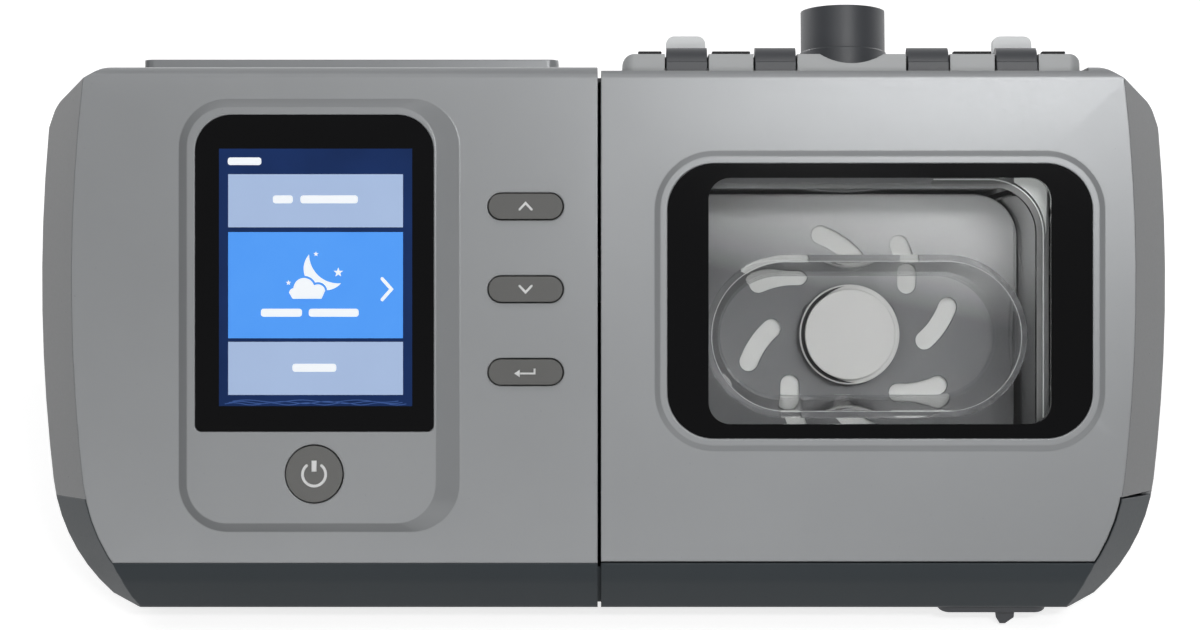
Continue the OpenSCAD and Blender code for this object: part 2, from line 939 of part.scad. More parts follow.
module main_board() {
    color("darkgreen")
        difference() {
            translate([-half_w + 30, board_y, board_z])
                cube([half_w - 46, 32, board_t]);
            for (p = board_posts)
                translate([p[0], p[1], board_z - 1])
                    cylinder(r = 1.2, h = 4);
        }
    color("black")
        for (i = [0:3])
            translate([-half_w + 52 + i * 17, board_y + 12, board_z + board_t])
                cube([9, 9, 2]);
}
module feet(mirror_x) {
    for (p = feet_places)
        translate([mirror_x * p[0], p[1], 0])
            rotate_extrude()
                polygon(rounded([[0, 0], [6, 0], [6, foot_h + 1], [0, foot_h + 1]], [0, 1.2, 0, 0]));
}
module main_feet() {
    color("black")
        feet(1);
}
module screws(places) {
    for (p = places)
        translate([p[0], p[1], 0])
            difference() {
                union() {
                    translate([0, 0, foot_h - 0.8])
                        cylinder(r = 2.6, h = 2.2);
                    translate([0, 0, foot_h])
                        cylinder(r = screw_r - 0.2, h = part_z + 5 - foot_h);
                }
                translate([0, 0, foot_h - 1])
                    cylinder(r = 1.2, h = 1.4, $fn = 6);
            }
}
module main_screws() {
    color("silver")
        screws(main_lugs);
}

// Humidifier
hinge_u = half_w - hinge_in;
hinge_v = face_h + hinge_up;
hinge_w = -hinge_back;
knuckle_r = 3.8;
knuckle_places = [for (d = [-knuckle_far, -knuckle_near, knuckle_near, knuckle_far]) hinge_u + d];
deck_l = hinge_u - knuckle_far - deck_end;
deck_r = hinge_u + knuckle_far + deck_end;
deck_low = face_h - wall / 2;
deck_top = hinge_v + pin_r + 0.7;
deck_front = -4.5;
deck_rear = -52;
// Dip in the deck in front of the outlet
dip_r = 15.3;
dip_v = face_h + 1.2;
outlet_w = -34;
// Heights along the outlet: its foot, the start of the free end that a hose fits, and its mouth
tube_low = -16;
free_low = 6;
tube_top = outlet_h + 3;
seat_step = 0.25;
module on_outlet() {
    on_face()
        translate([hinge_u, face_h, outlet_w])
            rotate([-90 - outlet_a, 0, 0])
                children();
}
module deck_region() {
    polygon(rounded(
        box_pts(deck_l, deck_rear, deck_r, deck_front),
        [5, 5, 3, 3]
    ));
}
// Extrusion up the face, from height v0 to v1, of an outline in (u, w)
module up_face(v0, v1) {
    translate([0, v1, 0])
        rotate([90, 0, 0])
            linear_extrude(v1 - v0)
                children();
}
module humidifier_housing() {
    color("lightgray")
        difference() {
            union() {
                difference() {
                    right_shell();
                    tray_zone();
                    front_zone(-eps);
                }
                difference() {
                    docking_rib();
                    tray_zone();
                }
                intersection() {
                    lugs(humid_lugs, -1);
                    right_half(wall * 0.5);
                }
                tongues();
            }
            on_face()
                up_face(deck_low, face_h + 10)
                    polygon(rounded(inset(box_pts(deck_l, deck_rear, deck_r, 5), -fit), [5, 5, 0, 0]));
            on_outlet()
                translate([0, 0, -40])
                    cylinder(r = outlet_r + 1.3, h = 60);
            port_hole();
        }
}
module port_hole() {
    translate([seam_r - 1, port_y, port_z])
        rotate([0, 90, 0])
            cylinder(r = port_r + 1, h = wall + 2);
}
// Tongues that enter the slots of the main unit
module tongues() {
    for (p = tongue_places)
        if (p[1] > part_z)
            translate([seam_l - 2.6, p[0] - 3.2, p[1] - 5.2])
                cube([2.6 + seam_gap + 1, 6.4, 10.4]);
}
module humidifier_base_tray() {
    color("darkslategray")
        difference() {
            union() {
                tray_shell(1);
                intersection() {
                    docking_rib();
                    tray_zone();
                }
                intersection() {
                    screw_posts(humid_lugs);
                    body_form(wall / 2);
                }
                for (p = bay_posts)
                    translate([p[0], p[1], foot_h + 1])
                        cylinder(r = 3, h = tank_z - 2.3 - foot_h - 1);
                for (p = tongue_places)
                    if (p[1] < part_z)
                        translate([seam_l - 2.6, p[0] - 3.2, p[1] - 5.2])
                            cube([2.6 + seam_gap + 1, 6.4, 10.4]);
            }
            screw_heads(humid_lugs);
            foot_sockets(-1);
            port_hole();
            latch_slot(0.4);
        }
}
module hinge_deck() {
    color("gainsboro")
        on_face()
            difference() {
                union() {
                    intersection() {
                        up_face(deck_low, deck_top)
                            deck_region();
                        slab(-big, 0)
                            polygon(rounded(
                                box_pts(deck_l, deck_low - 1, deck_r, deck_top), [0, 0, 3, 3]
                            ));
                    }
                    for (u = [knuckle_places[0], knuckle_places[3]])
                        slab(-17.4, -14.2)
                            polygon(rounded(
                                box_pts(u - 5, deck_low + 1, u + 5, face_h + 8.8),
                                [0, 0, 2, 2]
                            ));
                }
                for (u = knuckle_places)
                    translate([u - knuckle_w / 2 - 0.4, deck_low - 1, -14])
                        cube([knuckle_w + 0.8, 20, 20]);
                pins(0.05, 0.4);
                translate([hinge_u, dip_v + dip_r, outlet_w])
                    cylinder(r = dip_r, h = 40);
                translate([hinge_u, face_h, outlet_w])
                    rotate([-90 - outlet_a, 0, 0])
                        translate([0, 0, -30])
                            cylinder(r = outlet_r + seat_step + 0.1, h = 60);
            }
}
// Soft strips along the front edge of the deck, between the knuckles
module deck_pads() {
    u = knuckle_places;
    half = knuckle_w / 2 + 1.2;
    spans = [
        [deck_l + 4, u[0] - half], [u[0] + half, u[1] - half],
        [u[2] + half, u[3] - half], [u[3] + half, deck_r - 4]
    ];
    color("black")
        on_face()
            for (s = spans)
                slab(deck_front - 2.6, deck_front - 0.4)
                    round_box(s[0], deck_top, s[1], deck_top + 0.7, 0.3);
}
// Hinge pins, one on each side of the dip, with clearance g round them and e at their ends
hinge_half = knuckle_far + knuckle_w;
pin_in = knuckle_near - knuckle_w / 2 - 3.1;
pin_out = hinge_half - 0.5;
module pins(g, e) {
    for (side = [0, 1])
        translate([hinge_u, hinge_v, hinge_w])
            mirror([side, 0, 0])
                translate([pin_in - e, 0, 0])
                    rotate([0, 90, 0])
                        cylinder(r = pin_r + g, h = pin_out - pin_in + 2 * e);
}
module hinge_pins() {
    color("silver")
        on_face()
            pins(0, 0);
}
module outlet_tube() {
    color("dimgray")
        on_outlet()
            difference() {
                union() {
                    translate([0, 0, tube_low])
                        cylinder(r = outlet_r, h = tube_top - tube_low);
                    translate([0, 0, tube_low])
                        cylinder(r = outlet_r + seat_step, h = free_low - tube_low);
                    translate([0, 0, tube_low])
                        cylinder(r = outlet_r + 1, h = deck_low - face_h - tube_low - 1.5);
                }
                translate([0, 0, tube_low - 1])
                    cylinder(r = outlet_bore, h = tube_top - tube_low + 2);
            }
}
module outlet_seal() {
    color("black")
        on_outlet()
            translate([0, 0, tube_low - 4])
                ring(outlet_r + 1, outlet_bore - 1, 4);
}
module lid_shell() {
    bead = 2.5;
    color("silver")
        difference() {
            union() {
                intersection() {
                    right_shell();
                    front_zone(lid_gap);
                }
                // Lower flange with the catch
                on_face()
                    intersection() {
                        slab(-15.5, -1)
                            translate([seam_r + 1, lid_gap])
                                square([half_w - 30, wall]);
                        slab(-15.5, -1)
                            face_region(-4);
                    }
                on_face()
                    hull() {
                        slab(-0.5, 0)
                            frame_region(bead + 0.8);
                        slab(0, 0.7)
                            frame_region(bead - 0.6);
                    }
            }
            on_face() {
                slab(-1.4, 2)
                    frame_region(fit);
                slab(-5, 1)
                    frame_region(-frame_step);
                // Top edge open for the deck and the knuckles
                slab(-bevel_d - 5, -wall)
                    translate([deck_l - 1.5, 100])
                        square([deck_r - deck_l + 3, 60]);
                slab(-bevel_d - 5, 10)
                    translate([-1, face_h - 1])
                        square([half_w - 22, 60]);
                catch_cut();
            }
        }
}
// Path of the latch finger through the lower flange of the lid
finger_u = 103;
finger_w = 4.6;
finger_y = front_y + 9;
module catch_cut() {
    slab(-20, -6.3)
        translate([finger_u - finger_w / 2 - 0.6, lid_gap - 1])
            square([finger_w + 1.2, wall + 2]);
    slab(-12.6, -6.3)
        translate([finger_u - finger_w / 2 - 0.6 - latch_travel, lid_gap - 1])
            square([finger_w + 1.2 + latch_travel, wall + 2]);
}
module lid_hinge_arms() {
    bar_v = face_h - 17;
    color("dimgray")
        on_face()
            difference() {
                union() {
                    slab(-wall - 3, -wall)
                        polygon(rounded(
                            box_pts(hinge_u - hinge_half, bar_v, hinge_u + hinge_half, bar_v + 10.5),
                            [2, 2, 2, 2]
                        ));
                    for (u = knuckle_places) {
                        translate([u - knuckle_w / 2, hinge_v, hinge_w])
                            rotate([0, 90, 0])
                                cylinder(r = knuckle_r, h = knuckle_w);
                        translate([u - knuckle_w / 2, bar_v + 2, hinge_w - knuckle_r])
                            cube([knuckle_w, hinge_v - bar_v - 2, knuckle_r + 4.6]);
                    }
                }
                translate([hinge_u - 60, hinge_v, hinge_w])
                    rotate([0, 90, 0])
                        cylinder(r = pin_r + 0.08, h = 120);
            }
}
frame_step = 1.2;
lens_lap = 1.2;
module window_frame() {
    color("black")
        on_face()
            difference() {
                union() {
                    slab(-1.4, 0.5)
                        frame_region(0);
                    slab(-4.2, -1.4)
                        frame_region(-frame_step - fit);
                }
                slab(-10, 5)
                    view_region(0);
                slab(-10, -2)
                    view_region(lens_lap + fit);
            }
}
module window_lens() {
    color("lightblue", 0.4)
        on_face()
            slab(-3.6, -2)
                view_region(lens_lap);
}
module window_seal() {
    color("black")
        on_face()
            difference() {
                slab(-6, -4.2)
                    frame_region(-frame_step - 0.4);
                slab(-10, 5)
                    view_region(0.6);
            }
}
// Latch under the nose
guide_u = 99.4;
guide_w = 27.6;
module latch_slot(g) {
    translate([finger_u - latch_travel - finger_w / 2 - g, finger_y - 1.6 - g, -5])
        cube([latch_travel + finger_w + 2 * g, 3.2 + 2 * g, 22]);
}
module latch_guide() {
    guide_z = yz(-chin_v, -chin_v)[1] - 1.9;
    color("gray")
        difference() {
            translate([guide_u - guide_w / 2, finger_y - 3.2, guide_z])
                linear_extrude(10)
                    round_box(0, 0, guide_w, 9, 3);
            body_form(0);
            latch_slot(0.4);
        }
}
module latch_slider() {
    top_z = yz(0, -9)[1] + 4;
    shelf_z = floor_z + 4.9;
    color("gray") {
        translate([finger_u - finger_w / 2, finger_y - 1.6, 3])
            cube([finger_w, 3.2, top_z - 3]);
        translate([finger_u, finger_y - 1.6, 3])
            rotate([-90, 0, 0])
                linear_extrude(3.2)
                    polygon([[-finger_w / 2, 0], [finger_w / 2, 0], [0.2, 1.9], [-1.2, 1.9]]);
        translate([finger_u - 10, finger_y - 2.2, shelf_z])
            cube([18, 6.2, 2]);
    }
}

// Water tank
tank_left = tank_in - seam_off;
tank_right = half_w - tank_side;
tank_front = -10;
tank_z = part_z - 7.8;
tank_top_v = face_h - 30.2;
tank_rear = body_d / 2 - tank_back;
recess_u = tank_right - recess_in - recess_w / 2;
recess_v = frame_v + 25.5;
cap_u = recess_u - 1.9;
cap_v = recess_v + 0.3;
recess_floor = tank_front - recess_d;
recess_taper = 3.3;
module tank_profile(e) {
    a = yz(tank_top_v, tank_front);
    rear_z = a[1] - (tank_rear - a[0]) * tan(lean);
    toe_v = (tank_z - nose_z + 20 * sin(lean)) / cos(lean);
    pts = [
        yz(toe_v, -20), [tank_rear, tank_z], [tank_rear, rear_z], a, yz(toe_v + 3, tank_front)
    ];
    polygon(rounded(inset(pts, e), [3 - e, 6 - e, 0, 0, 4 - e]));
}
module tank_solid(e) {
    intersection() {
        along_x(tank_left + e, tank_right - e)
            tank_profile(e);
        on_face()
            slab(-big, 0)
                polygon(rounded(
                    box_pts(tank_left + e, -80, tank_right - e, tank_top_v + 2.4 - e),
                    [0, 0, 14 - e, 14 - e]
                ));
    }
}
module recess_form(e) {
    mid = (recess_w - recess_h) / 2;
    r0 = recess_h / 2 + e;
    r1 = r0 - recess_taper;
    depth = recess_d + e;
    on_face()
        translate([recess_u, recess_v, tank_front - depth]) {
            for (s = [-1, 1])
                translate([s * mid, 0, 0])
                    cylinder(r1 = r1, r2 = r0, h = depth);
            translate([-mid, 0, 0])
                rotate([90, 0, 90])
                    linear_extrude(2 * mid)
                        polygon([[-r1, 0], [r1, 0], [r0, depth], [-r0, depth]]);
        }
}
module tank_body() {
    color("lightcyan", 0.5)
        difference() {
            union() {
                difference() {
                    tank_solid(0);
                    tank_solid(tank_wall);
                    on_face()
                        slab(tank_back_w + tank_wall / cos(lean), tank_front - tank_wall)
                            translate([tank_left + rim_in + 1.6, tank_top_v - 8])
                                square([tank_right - tank_left - 2 * rim_in - 3.2, 30]);
                }
                intersection() {
                    recess_form(tank_wall);
                    tank_solid(0);
                }
            }
            recess_form(0);
            on_face()
                slab(tank_front - 1, tank_front + 5)
                    pill(recess_u, recess_v, recess_w, recess_h);
            on_face()
                translate([cap_u, cap_v, recess_floor - 10])
                    cylinder(r = cap_r - 3.4, h = 20);
        }
}
// Depth of the tank's rear edge at its rim, and the rim's distance inside the sides
tank_back_w = -(tank_rear - front_y - tank_top_v * sin(lean)) / cos(lean);
rim_in = 6.4;
cover_low = tank_top_v + 1;
cover_top = cover_low + 3;
inlet_w = -78 - (tank_rear - 40) / cos(lean);
module tank_gasket() {
    inner = 1.6;
    color("white")
        on_face()
            up_face(tank_top_v, cover_low)
                difference() {
                    polygon(rounded(
                        box_pts(tank_left + rim_in, tank_back_w + 0.4,
                            tank_right - rim_in, tank_front - 0.4),
                        [3, 3, 3, 3]
                    ));
                    polygon(rounded(
                        box_pts(tank_left + rim_in + inner, tank_back_w + 0.4 + inner,
                            tank_right - rim_in - inner, tank_front - 0.4 - inner),
                        [1.5, 1.5, 1.5, 1.5]
                    ));
                }
}
module tank_cover() {
    color("lightgray")
        on_face()
            difference() {
                union() {
                    up_face(cover_low, cover_top)
                        polygon(rounded(
                            box_pts(tank_left + rim_in - 0.8, tank_back_w,
                                tank_right - rim_in + 0.8, tank_front - 0.2),
                            [4, 4, 4, 4]
                        ));
                    translate([hinge_u, cover_low, outlet_port_w])
                        rotate([-90 - outlet_a, 0, 0])
                            translate([0, 0, 0.3])
                                cylinder(r = outlet_r + 1, h = port_stub);
                    up_face(cover_low, cover_top + 1)
                        translate([hinge_u, inlet_w])
                            circle(r = port_r + 2);
                }
                translate([hinge_u, cover_low, outlet_port_w])
                    rotate([-90 - outlet_a, 0, 0])
                        translate([0, 0, -9])
                            cylinder(r = outlet_bore, h = 60);
                up_face(cover_low - 9, cover_top + 20)
                    translate([hinge_u, inlet_w])
                        circle(r = port_r);
            }
}
outlet_port_w = outlet_w + (face_h - cover_low) * tan(outlet_a);
port_stub = (face_h - cover_low) / cos(outlet_a) + tube_low - 4 - 0.3;
module fill_cap() {
    color("whitesmoke")
        on_face()
            translate([cap_u, cap_v, recess_floor]) {
                translate([0, 0, 0.3])
                    cylinder(r = cap_r + 1.3, h = 1.2);
                translate([0, 0, 1.5])
                    cylinder(r = cap_r, h = 2.4);
                translate([0, 0, -2.2])
                    cylinder(r = cap_r - 3.7, h = 2.6);
            }
}
// Plate with curved slots behind the recess, and the light disc behind it
plate_edge = tank_wall + 1;
plate_w = recess_floor - tank_wall - 3;
disc_r = 30.5;
slot_mid = 23.7;
slot_count = 8;
module swirl_slot() {
    n = 6;
    r_in = 20.4;
    r_out = 27.4;
    w = 2.5;
    mid = [for (k = [0:n]) let (a = -11 + 20 * k / n, r = r_in + (r_out - r_in) * k / n)
        r * [cos(a), sin(a)]];
    dir = [for (k = [0:n]) unit(mid[min(n, k + 1)] - mid[max(0, k - 1)])];
    polygon(concat(
        [for (k = [0:n]) mid[k] + w * left_of(dir[k])],
        [for (t = [90 - 22.5:-22.5:-67.5]) mid[n] + w * turned(dir[n], t)],
        [for (k = [n:-1:0]) mid[k] - w * left_of(dir[k])],
        [for (t = [-112.5:-22.5:-247.5]) mid[0] + w * turned(dir[0], t)]
    ));
}
// Lower edge of the plate, just above the sloping view of the tank's floor
plate_low = (tank_z + tank_wall + 1.2 - nose_z - plate_w * sin(lean)) / cos(lean);
module vent_plate() {
    color("gray")
        on_face()
            translate([cap_u, cap_v, plate_w]) {
                difference() {
                    linear_extrude(1.6)
                        round_box(
                            tank_left + plate_edge - cap_u, plate_low - cap_v,
                            tank_right - plate_edge - cap_u, tank_top_v - 0.6 - cap_v, 10
                        );
                    for (i = [0:slot_count - 1])
                        rotate([0, 0, 6.5 + i * 360 / slot_count])
                            translate([0, 0, -1])
                                linear_extrude(4)
                                    swirl_slot();
                }
                for (a = [30:120:270])
                    rotate([0, 0, a])
                        translate([12, 0, 1.5])
                            cylinder(r = 1.8, h = 1.5);
            }
}
module diffuser_disc() {
    color("white")
        on_face()
            translate([cap_u, cap_v, plate_w - 1.4])
                cylinder(r = disc_r, h = 1.4);
}
// Liner that the tank slides into, and the posts that carry it
bay_gap = 1.2;
bay_rear_h = 40.5;
bay_posts = [for (x = [tank_left + 4, tank_right - 4], y = [front_y + 38, tank_rear - 4]) [x, y]];
module tank_bay() {
    floor_top = tank_z - 0.3;
    color("gray")
        difference() {
            intersection() {
                translate([tank_left - bay_gap - 2, front_y + 22, floor_top - 2])
                    cube([tank_right - tank_left + 2 * bay_gap + 4, tank_rear - front_y - 22 + 3.5, big]);
                on_face()
                    slab(-big, -bevel_d - 2)
                        translate([-big, -60])
                            square([2 * big, 60 + cover_top]);
            }
            translate([tank_left - bay_gap, front_y, floor_top])
                cube([tank_right - tank_left + 2 * bay_gap, tank_rear - front_y + 1, big]);
            translate([tank_left - bay_gap, tank_rear, floor_top + bay_rear_h])
                cube([tank_right - tank_left + 2 * bay_gap, 20, big]);
            translate([plate_x0 - 1.5, plate_y0 - 1.5, 0])
                cube([plate_x1 - plate_x0 + 3, plate_y1 - plate_y0 + 3, 60]);
        }
}
plate_x0 = tank_left + 12;
plate_x1 = tank_right - 12;
plate_y0 = front_y + 46;
plate_y1 = tank_rear - 12;
heater_float = 2;
module heater_plate() {
    color("silver")
        translate([0, 0, tank_z - 3.3])
            linear_extrude(3)
                round_box(plate_x0, plate_y0, plate_x1, plate_y1, 8);
}
spring_places = [for (x = [plate_x0 + 8, plate_x1 - 8], y = [plate_y0 + 8, plate_y1 - 8]) [x, y]];
carrier_top = tank_z - 3.3 - heater_float - 0.8;
module heater_springs() {
    color("silver")
        for (p = spring_places)
            translate([p[0], p[1], floor_z + 2])
                ring(3, 2, tank_z - 3.3 - floor_z - 2);
}
module heater_carrier() {
    color("black")
        difference() {
            translate([0, 0, floor_z])
                linear_extrude(carrier_top - floor_z)
                    round_box(plate_x0 - 0.5, plate_y0 - 0.5, plate_x1 + 0.5, plate_y1 + 0.5, 8);
            translate([0, 0, floor_z + 2])
                linear_extrude(20)
                    round_box(plate_x0 + 14, plate_y0 + 4, plate_x1 - 14, plate_y1 - 4, 4);
            for (p = spring_places)
                translate([p[0], p[1], floor_z + 2])
                    cylinder(r = 3.6, h = 20);
        }
}
// Duct from the docking port to the tank cover
duct_r = port_r + 1.2;
duct_top = yz(cover_top + 1.3 + duct_r + 0.6, inlet_w);
duct_mid = [port_y, part_z + 34 - (port_y - 68) * tan(lean)];
module inlet_duct() {
    r = duct_r;
    pts = [
        [seam_r + wall + 0.3, port_y, port_z], [hinge_u, port_y, port_z],
        [hinge_u, duct_mid[0], duct_mid[1]], [hinge_u, duct_top[0], duct_top[1]]
    ];
    stub = [hinge_u, yz(cover_top + 1.3, inlet_w)[0], yz(cover_top + 1.3, inlet_w)[1]];
    color("dimgray")
        difference() {
            duct_run(concat(pts, [stub]), r);
            duct_run(concat([pts[0] - [1, 0, 0]], [pts[1], pts[2], pts[3]],
                [stub + (stub - pts[3]) * 0.2]), port_r - 0.6);
        }
}
module duct_run(pts, r) {
    for (i = [0:len(pts) - 2])
        rod(pts[i], pts[i + 1], r);
    for (i = [1:len(pts) - 2])
        translate(pts[i])
            sphere(r = r + 0.1);
}
module humidifier_feet() {
    color("black")
        feet(-1);
}
module humidifier_screws() {
    color("silver")
        screws(humid_lugs);
}

main_front_cover();
main_rear_housing();
main_base_tray();
screen_glass();
display_panel();
control_board();
board_screws();
key_switches();
up_button();
down_button();
enter_button();
power_button();
blower_housing();
blower_cover();
blower_motor();
blower_impeller();
blower_mounts();
air_filter();
filter_door();
outlet_duct();
dock_seal();
main_board();
power_inlet();
card_slot_cover();
main_feet();
main_screws();
humidifier_housing();
humidifier_base_tray();
hinge_deck();
hinge_pins();
outlet_tube();
outlet_seal();
lid_shell();
lid_hinge_arms();
window_frame();
window_lens();
window_seal();
latch_guide();
latch_slider();
deck_pads();
tank_body();
tank_gasket();
tank_cover();
fill_cap();
vent_plate();
diffuser_disc();
tank_bay();
inlet_duct();
heater_plate();
heater_springs();
heater_carrier();
humidifier_feet();
humidifier_screws();
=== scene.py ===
"""Looks of the bedside breathing machine: mouldings, screen, keys, window and water tank."""
import math

import bpy
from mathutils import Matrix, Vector


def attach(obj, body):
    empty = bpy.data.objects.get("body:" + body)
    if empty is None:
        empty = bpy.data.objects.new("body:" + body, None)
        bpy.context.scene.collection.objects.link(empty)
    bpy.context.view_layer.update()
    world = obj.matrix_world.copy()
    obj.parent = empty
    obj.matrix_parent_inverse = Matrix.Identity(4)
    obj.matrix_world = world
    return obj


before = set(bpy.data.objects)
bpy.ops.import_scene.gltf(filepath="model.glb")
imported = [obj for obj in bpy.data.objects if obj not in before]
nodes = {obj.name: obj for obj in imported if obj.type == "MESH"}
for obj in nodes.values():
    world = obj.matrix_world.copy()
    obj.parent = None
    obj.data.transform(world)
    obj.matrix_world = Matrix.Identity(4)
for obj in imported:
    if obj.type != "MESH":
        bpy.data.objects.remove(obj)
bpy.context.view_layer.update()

MM = 0.001
# The control face leans back; u runs across it, v up it and w out of it, in millimetres
LEAN = math.radians(30)
# Foot of the face, in the middle of the machine
NOSE = Vector((0.0, -0.090, 0.0249))
UP_FACE = Vector((0.0, math.sin(LEAN), math.cos(LEAN)))
OUT_OF_FACE = Vector((0.0, -math.cos(LEAN), math.sin(LEAN)))
# Screen glass: its middle, its lower edge and its size
SCREEN_U, GLASS_V, GLASS_W, GLASS_H = -72.5, 33.2, 59.6, 79.2
# How far the glass, the small keys and the power key stand out of the face
GLASS_FRONT, KEY_FRONT, POWER_FRONT = 2.3, 1.6, 3.2
# Small keys: their middle, the lowest one's height and their spacing
KEY_U, KEY_V, KEY_PITCH = -19.6, 48.0, 20.8
POWER_V = 22.4


def on_face(u, v, w=0.0):
    """A point of the control face, from millimetres to metres."""
    return NOSE + (Vector((u, 0, 0)) + UP_FACE * v + OUT_OF_FACE * w) * MM


# ---------------------------------------------------------------- materials


def lin(hex_colour, alpha=1.0):
    """An sRGB hex colour as the linear value that the shader wants."""
    parts = [int(hex_colour[i : i + 2], 16) / 255 for i in (0, 2, 4)]
    return tuple(c / 12.92 if c <= 0.04045 else ((c + 0.055) / 1.055) ** 2.4
                 for c in parts) + (alpha,)


def add(tree, kind, links=None, values=None, **settings):
    """Adds a node with its settings, values and links."""
    node = tree.nodes.new(kind)
    for key, value in settings.items():
        setattr(node, key, value)
    for key, value in (values or {}).items():
        node.inputs[key].default_value = value
    for key, source in (links or {}).items():
        tree.links.new(source, node.inputs[key])
    return node


def new_material(name):
    material = bpy.data.materials.new(name)
    material.use_nodes = True
    material.node_tree.nodes.clear()
    return material, material.node_tree


def spots(size_mm):
    """Scale of a noise whose spots are of this size."""
    return 1000 / size_mm


def two_shades(tree, place, scale, detail, low, high, roughness=0.5):
    """Two close shades that drift into each other; gives the drift and the shade."""
    drift = add(tree, "ShaderNodeTexNoise", {"Vector": place.outputs["Object"]},
                {"Scale": scale, "Detail": detail, "Roughness": roughness})
    shade = add(tree, "ShaderNodeMix", {"Factor": drift.outputs["Fac"]}, data_type="RGBA")
    shade.inputs[6].default_value = lin(low)
    shade.inputs[7].default_value = lin(high)
    return drift, shade


def toned(tree, shade, share, tone):
    """The shade, turned to another tone where the share is 1."""
    mixed = add(tree, "ShaderNodeMix", {"Factor": share.outputs[0], 6: shade.outputs[2]},
                data_type="RGBA")
    mixed.inputs[7].default_value = lin(tone)
    return mixed


def how_far_sideways(tree, vector, start, end):
    """Rises from 0 to 1 while the vector's X, left or right, goes from start to end."""
    parts = add(tree, "ShaderNodeSeparateXYZ", {0: vector})
    size = add(tree, "ShaderNodeMath", {0: parts.outputs["X"]}, operation="ABSOLUTE")
    return add(tree, "ShaderNodeMapRange", {"Value": size.outputs[0]},
               {"From Min": start, "From Max": end})


# Painted shade on the outer bevels of the case: how much they face sideways, and how far out they
# lie
SIDE_SHADE_TURN = (0.45, 0.7)
SIDE_SHADE_REACH = (0.112, 0.122)


def moulded_abs(name, low, high, roughness=0.42, grain_mm=0.7, relief=0.05, metal=0.0, edge=0.35,
                sheen=0.5, painted_side_shade=None, painted_light_fade=None):
    """Moulded ABS: two close shades that drift with the melt flow, and a spark-eroded grain.

    relief and edge, in mm, are the grain's depth and the radius at which light catches an edge.
    """
    material, tree = new_material(name)
    place = add(tree, "ShaderNodeTexCoord")
    flow, shade = two_shades(tree, place, spots(45), 3.0, low, high, 0.55)
    if painted_light_fade:
        # Painted light: paler along one direction, from one distance to another
        tone, along, start, end = painted_light_fade
        rise = add(tree, "ShaderNodeVectorMath", {0: place.outputs["Object"]},
                   {1: along}, operation="DOT_PRODUCT")
        share = add(tree, "ShaderNodeMapRange", {"Value": rise.outputs["Value"]},
                    {"From Min": start, "From Max": end})
        shade = toned(tree, shade, share, tone)
    if painted_side_shade:
        # Painted shade: the bevelled outer sides are painted in a darker tone of the same finish,
        # where they turn away from the light
        faces = add(tree, "ShaderNodeNewGeometry")
        turned_out = how_far_sideways(tree, faces.outputs["True Normal"], *SIDE_SHADE_TURN)
        far_out = how_far_sideways(tree, place.outputs["Object"], *SIDE_SHADE_REACH)
        share = add(tree, "ShaderNodeMath", {0: turned_out.outputs[0], 1: far_out.outputs[0]},
                    operation="MULTIPLY")
        shade = toned(tree, shade, share, painted_side_shade)
    grain = add(tree, "ShaderNodeTexNoise", {"Vector": place.outputs["Object"]},
                {"Scale": spots(grain_mm), "Detail": 2.0, "Roughness": 0.6})
    corner = add(tree, "ShaderNodeBevel", values={"Radius": edge * MM}, samples=6)
    bump = add(tree, "ShaderNodeBump",
               {"Height": grain.outputs["Fac"], "Normal": corner.outputs["Normal"]},
               {"Strength": 0.35, "Distance": relief * MM})
    polish = add(tree, "ShaderNodeMapRange", {"Value": grain.outputs["Fac"]},
                 {"To Min": roughness - 0.05, "To Max": roughness + 0.05})
    skin = add(tree, "ShaderNodeBsdfPrincipled",
               {"Base Color": shade.outputs[2], "Roughness": polish.outputs["Result"],
                "Normal": bump.outputs["Normal"]},
               {"Metallic": metal, "IOR": 1.53, "Specular IOR Level": sheen})
    add(tree, "ShaderNodeOutputMaterial", {"Surface": skin.outputs["BSDF"]})
    return material


def gloss_pane(name, colour, glow_and_painted_light=0.0, roughness=0.06, low=None):
    """Polished acrylic or glass with ink behind it; its emission lights the screen, and elsewhere
    is painted light on parts that are no lamp.
    """
    material, tree = new_material(name)
    place = add(tree, "ShaderNodeTexCoord")
    haze, shade = two_shades(tree, place, spots(18), 4.0, low or colour, colour)
    polish = add(tree, "ShaderNodeMapRange", {"Value": haze.outputs["Fac"]},
                 {"To Min": roughness * 0.7, "To Max": roughness * 1.3})
    links = {"Base Color": shade.outputs[2], "Roughness": polish.outputs["Result"]}
    if glow_and_painted_light:
        links["Emission Color"] = shade.outputs[2]
    skin = add(tree, "ShaderNodeBsdfPrincipled", links, {"IOR": 1.45, "Emission Strength": glow_and_painted_light})
    add(tree, "ShaderNodeOutputMaterial", {"Surface": skin.outputs["BSDF"]})
    return material


def clear_plastic(name, tint, roughness=0.02):
    """Clear polycarbonate: bends and mirrors light, with the faint waviness of a moulded wall."""
    material, tree = new_material(name)
    place = add(tree, "ShaderNodeTexCoord")
    wave = add(tree, "ShaderNodeTexNoise", {"Vector": place.outputs["Object"]},
               {"Scale": spots(26), "Detail": 1.0})
    bump = add(tree, "ShaderNodeBump", {"Height": wave.outputs["Fac"]},
               {"Strength": 0.15, "Distance": 0.1 * MM})
    skin = add(tree, "ShaderNodeBsdfPrincipled", {"Normal": bump.outputs["Normal"]},
               {"Base Color": lin(tint), "Roughness": roughness, "IOR": 1.3,
                "Transmission Weight": 1.0})
    # Lamps shine through the wall, so that what is behind it is lit
    path = add(tree, "ShaderNodeLightPath")
    through = add(tree, "ShaderNodeBsdfTransparent", values={"Color": (0.97, 0.97, 0.97, 1)})
    both = add(tree, "ShaderNodeMixShader", {0: path.outputs["Is Shadow Ray"],
                                             1: skin.outputs["BSDF"], 2: through.outputs["BSDF"]})
    add(tree, "ShaderNodeOutputMaterial", {"Surface": both.outputs["Shader"]})
    return material


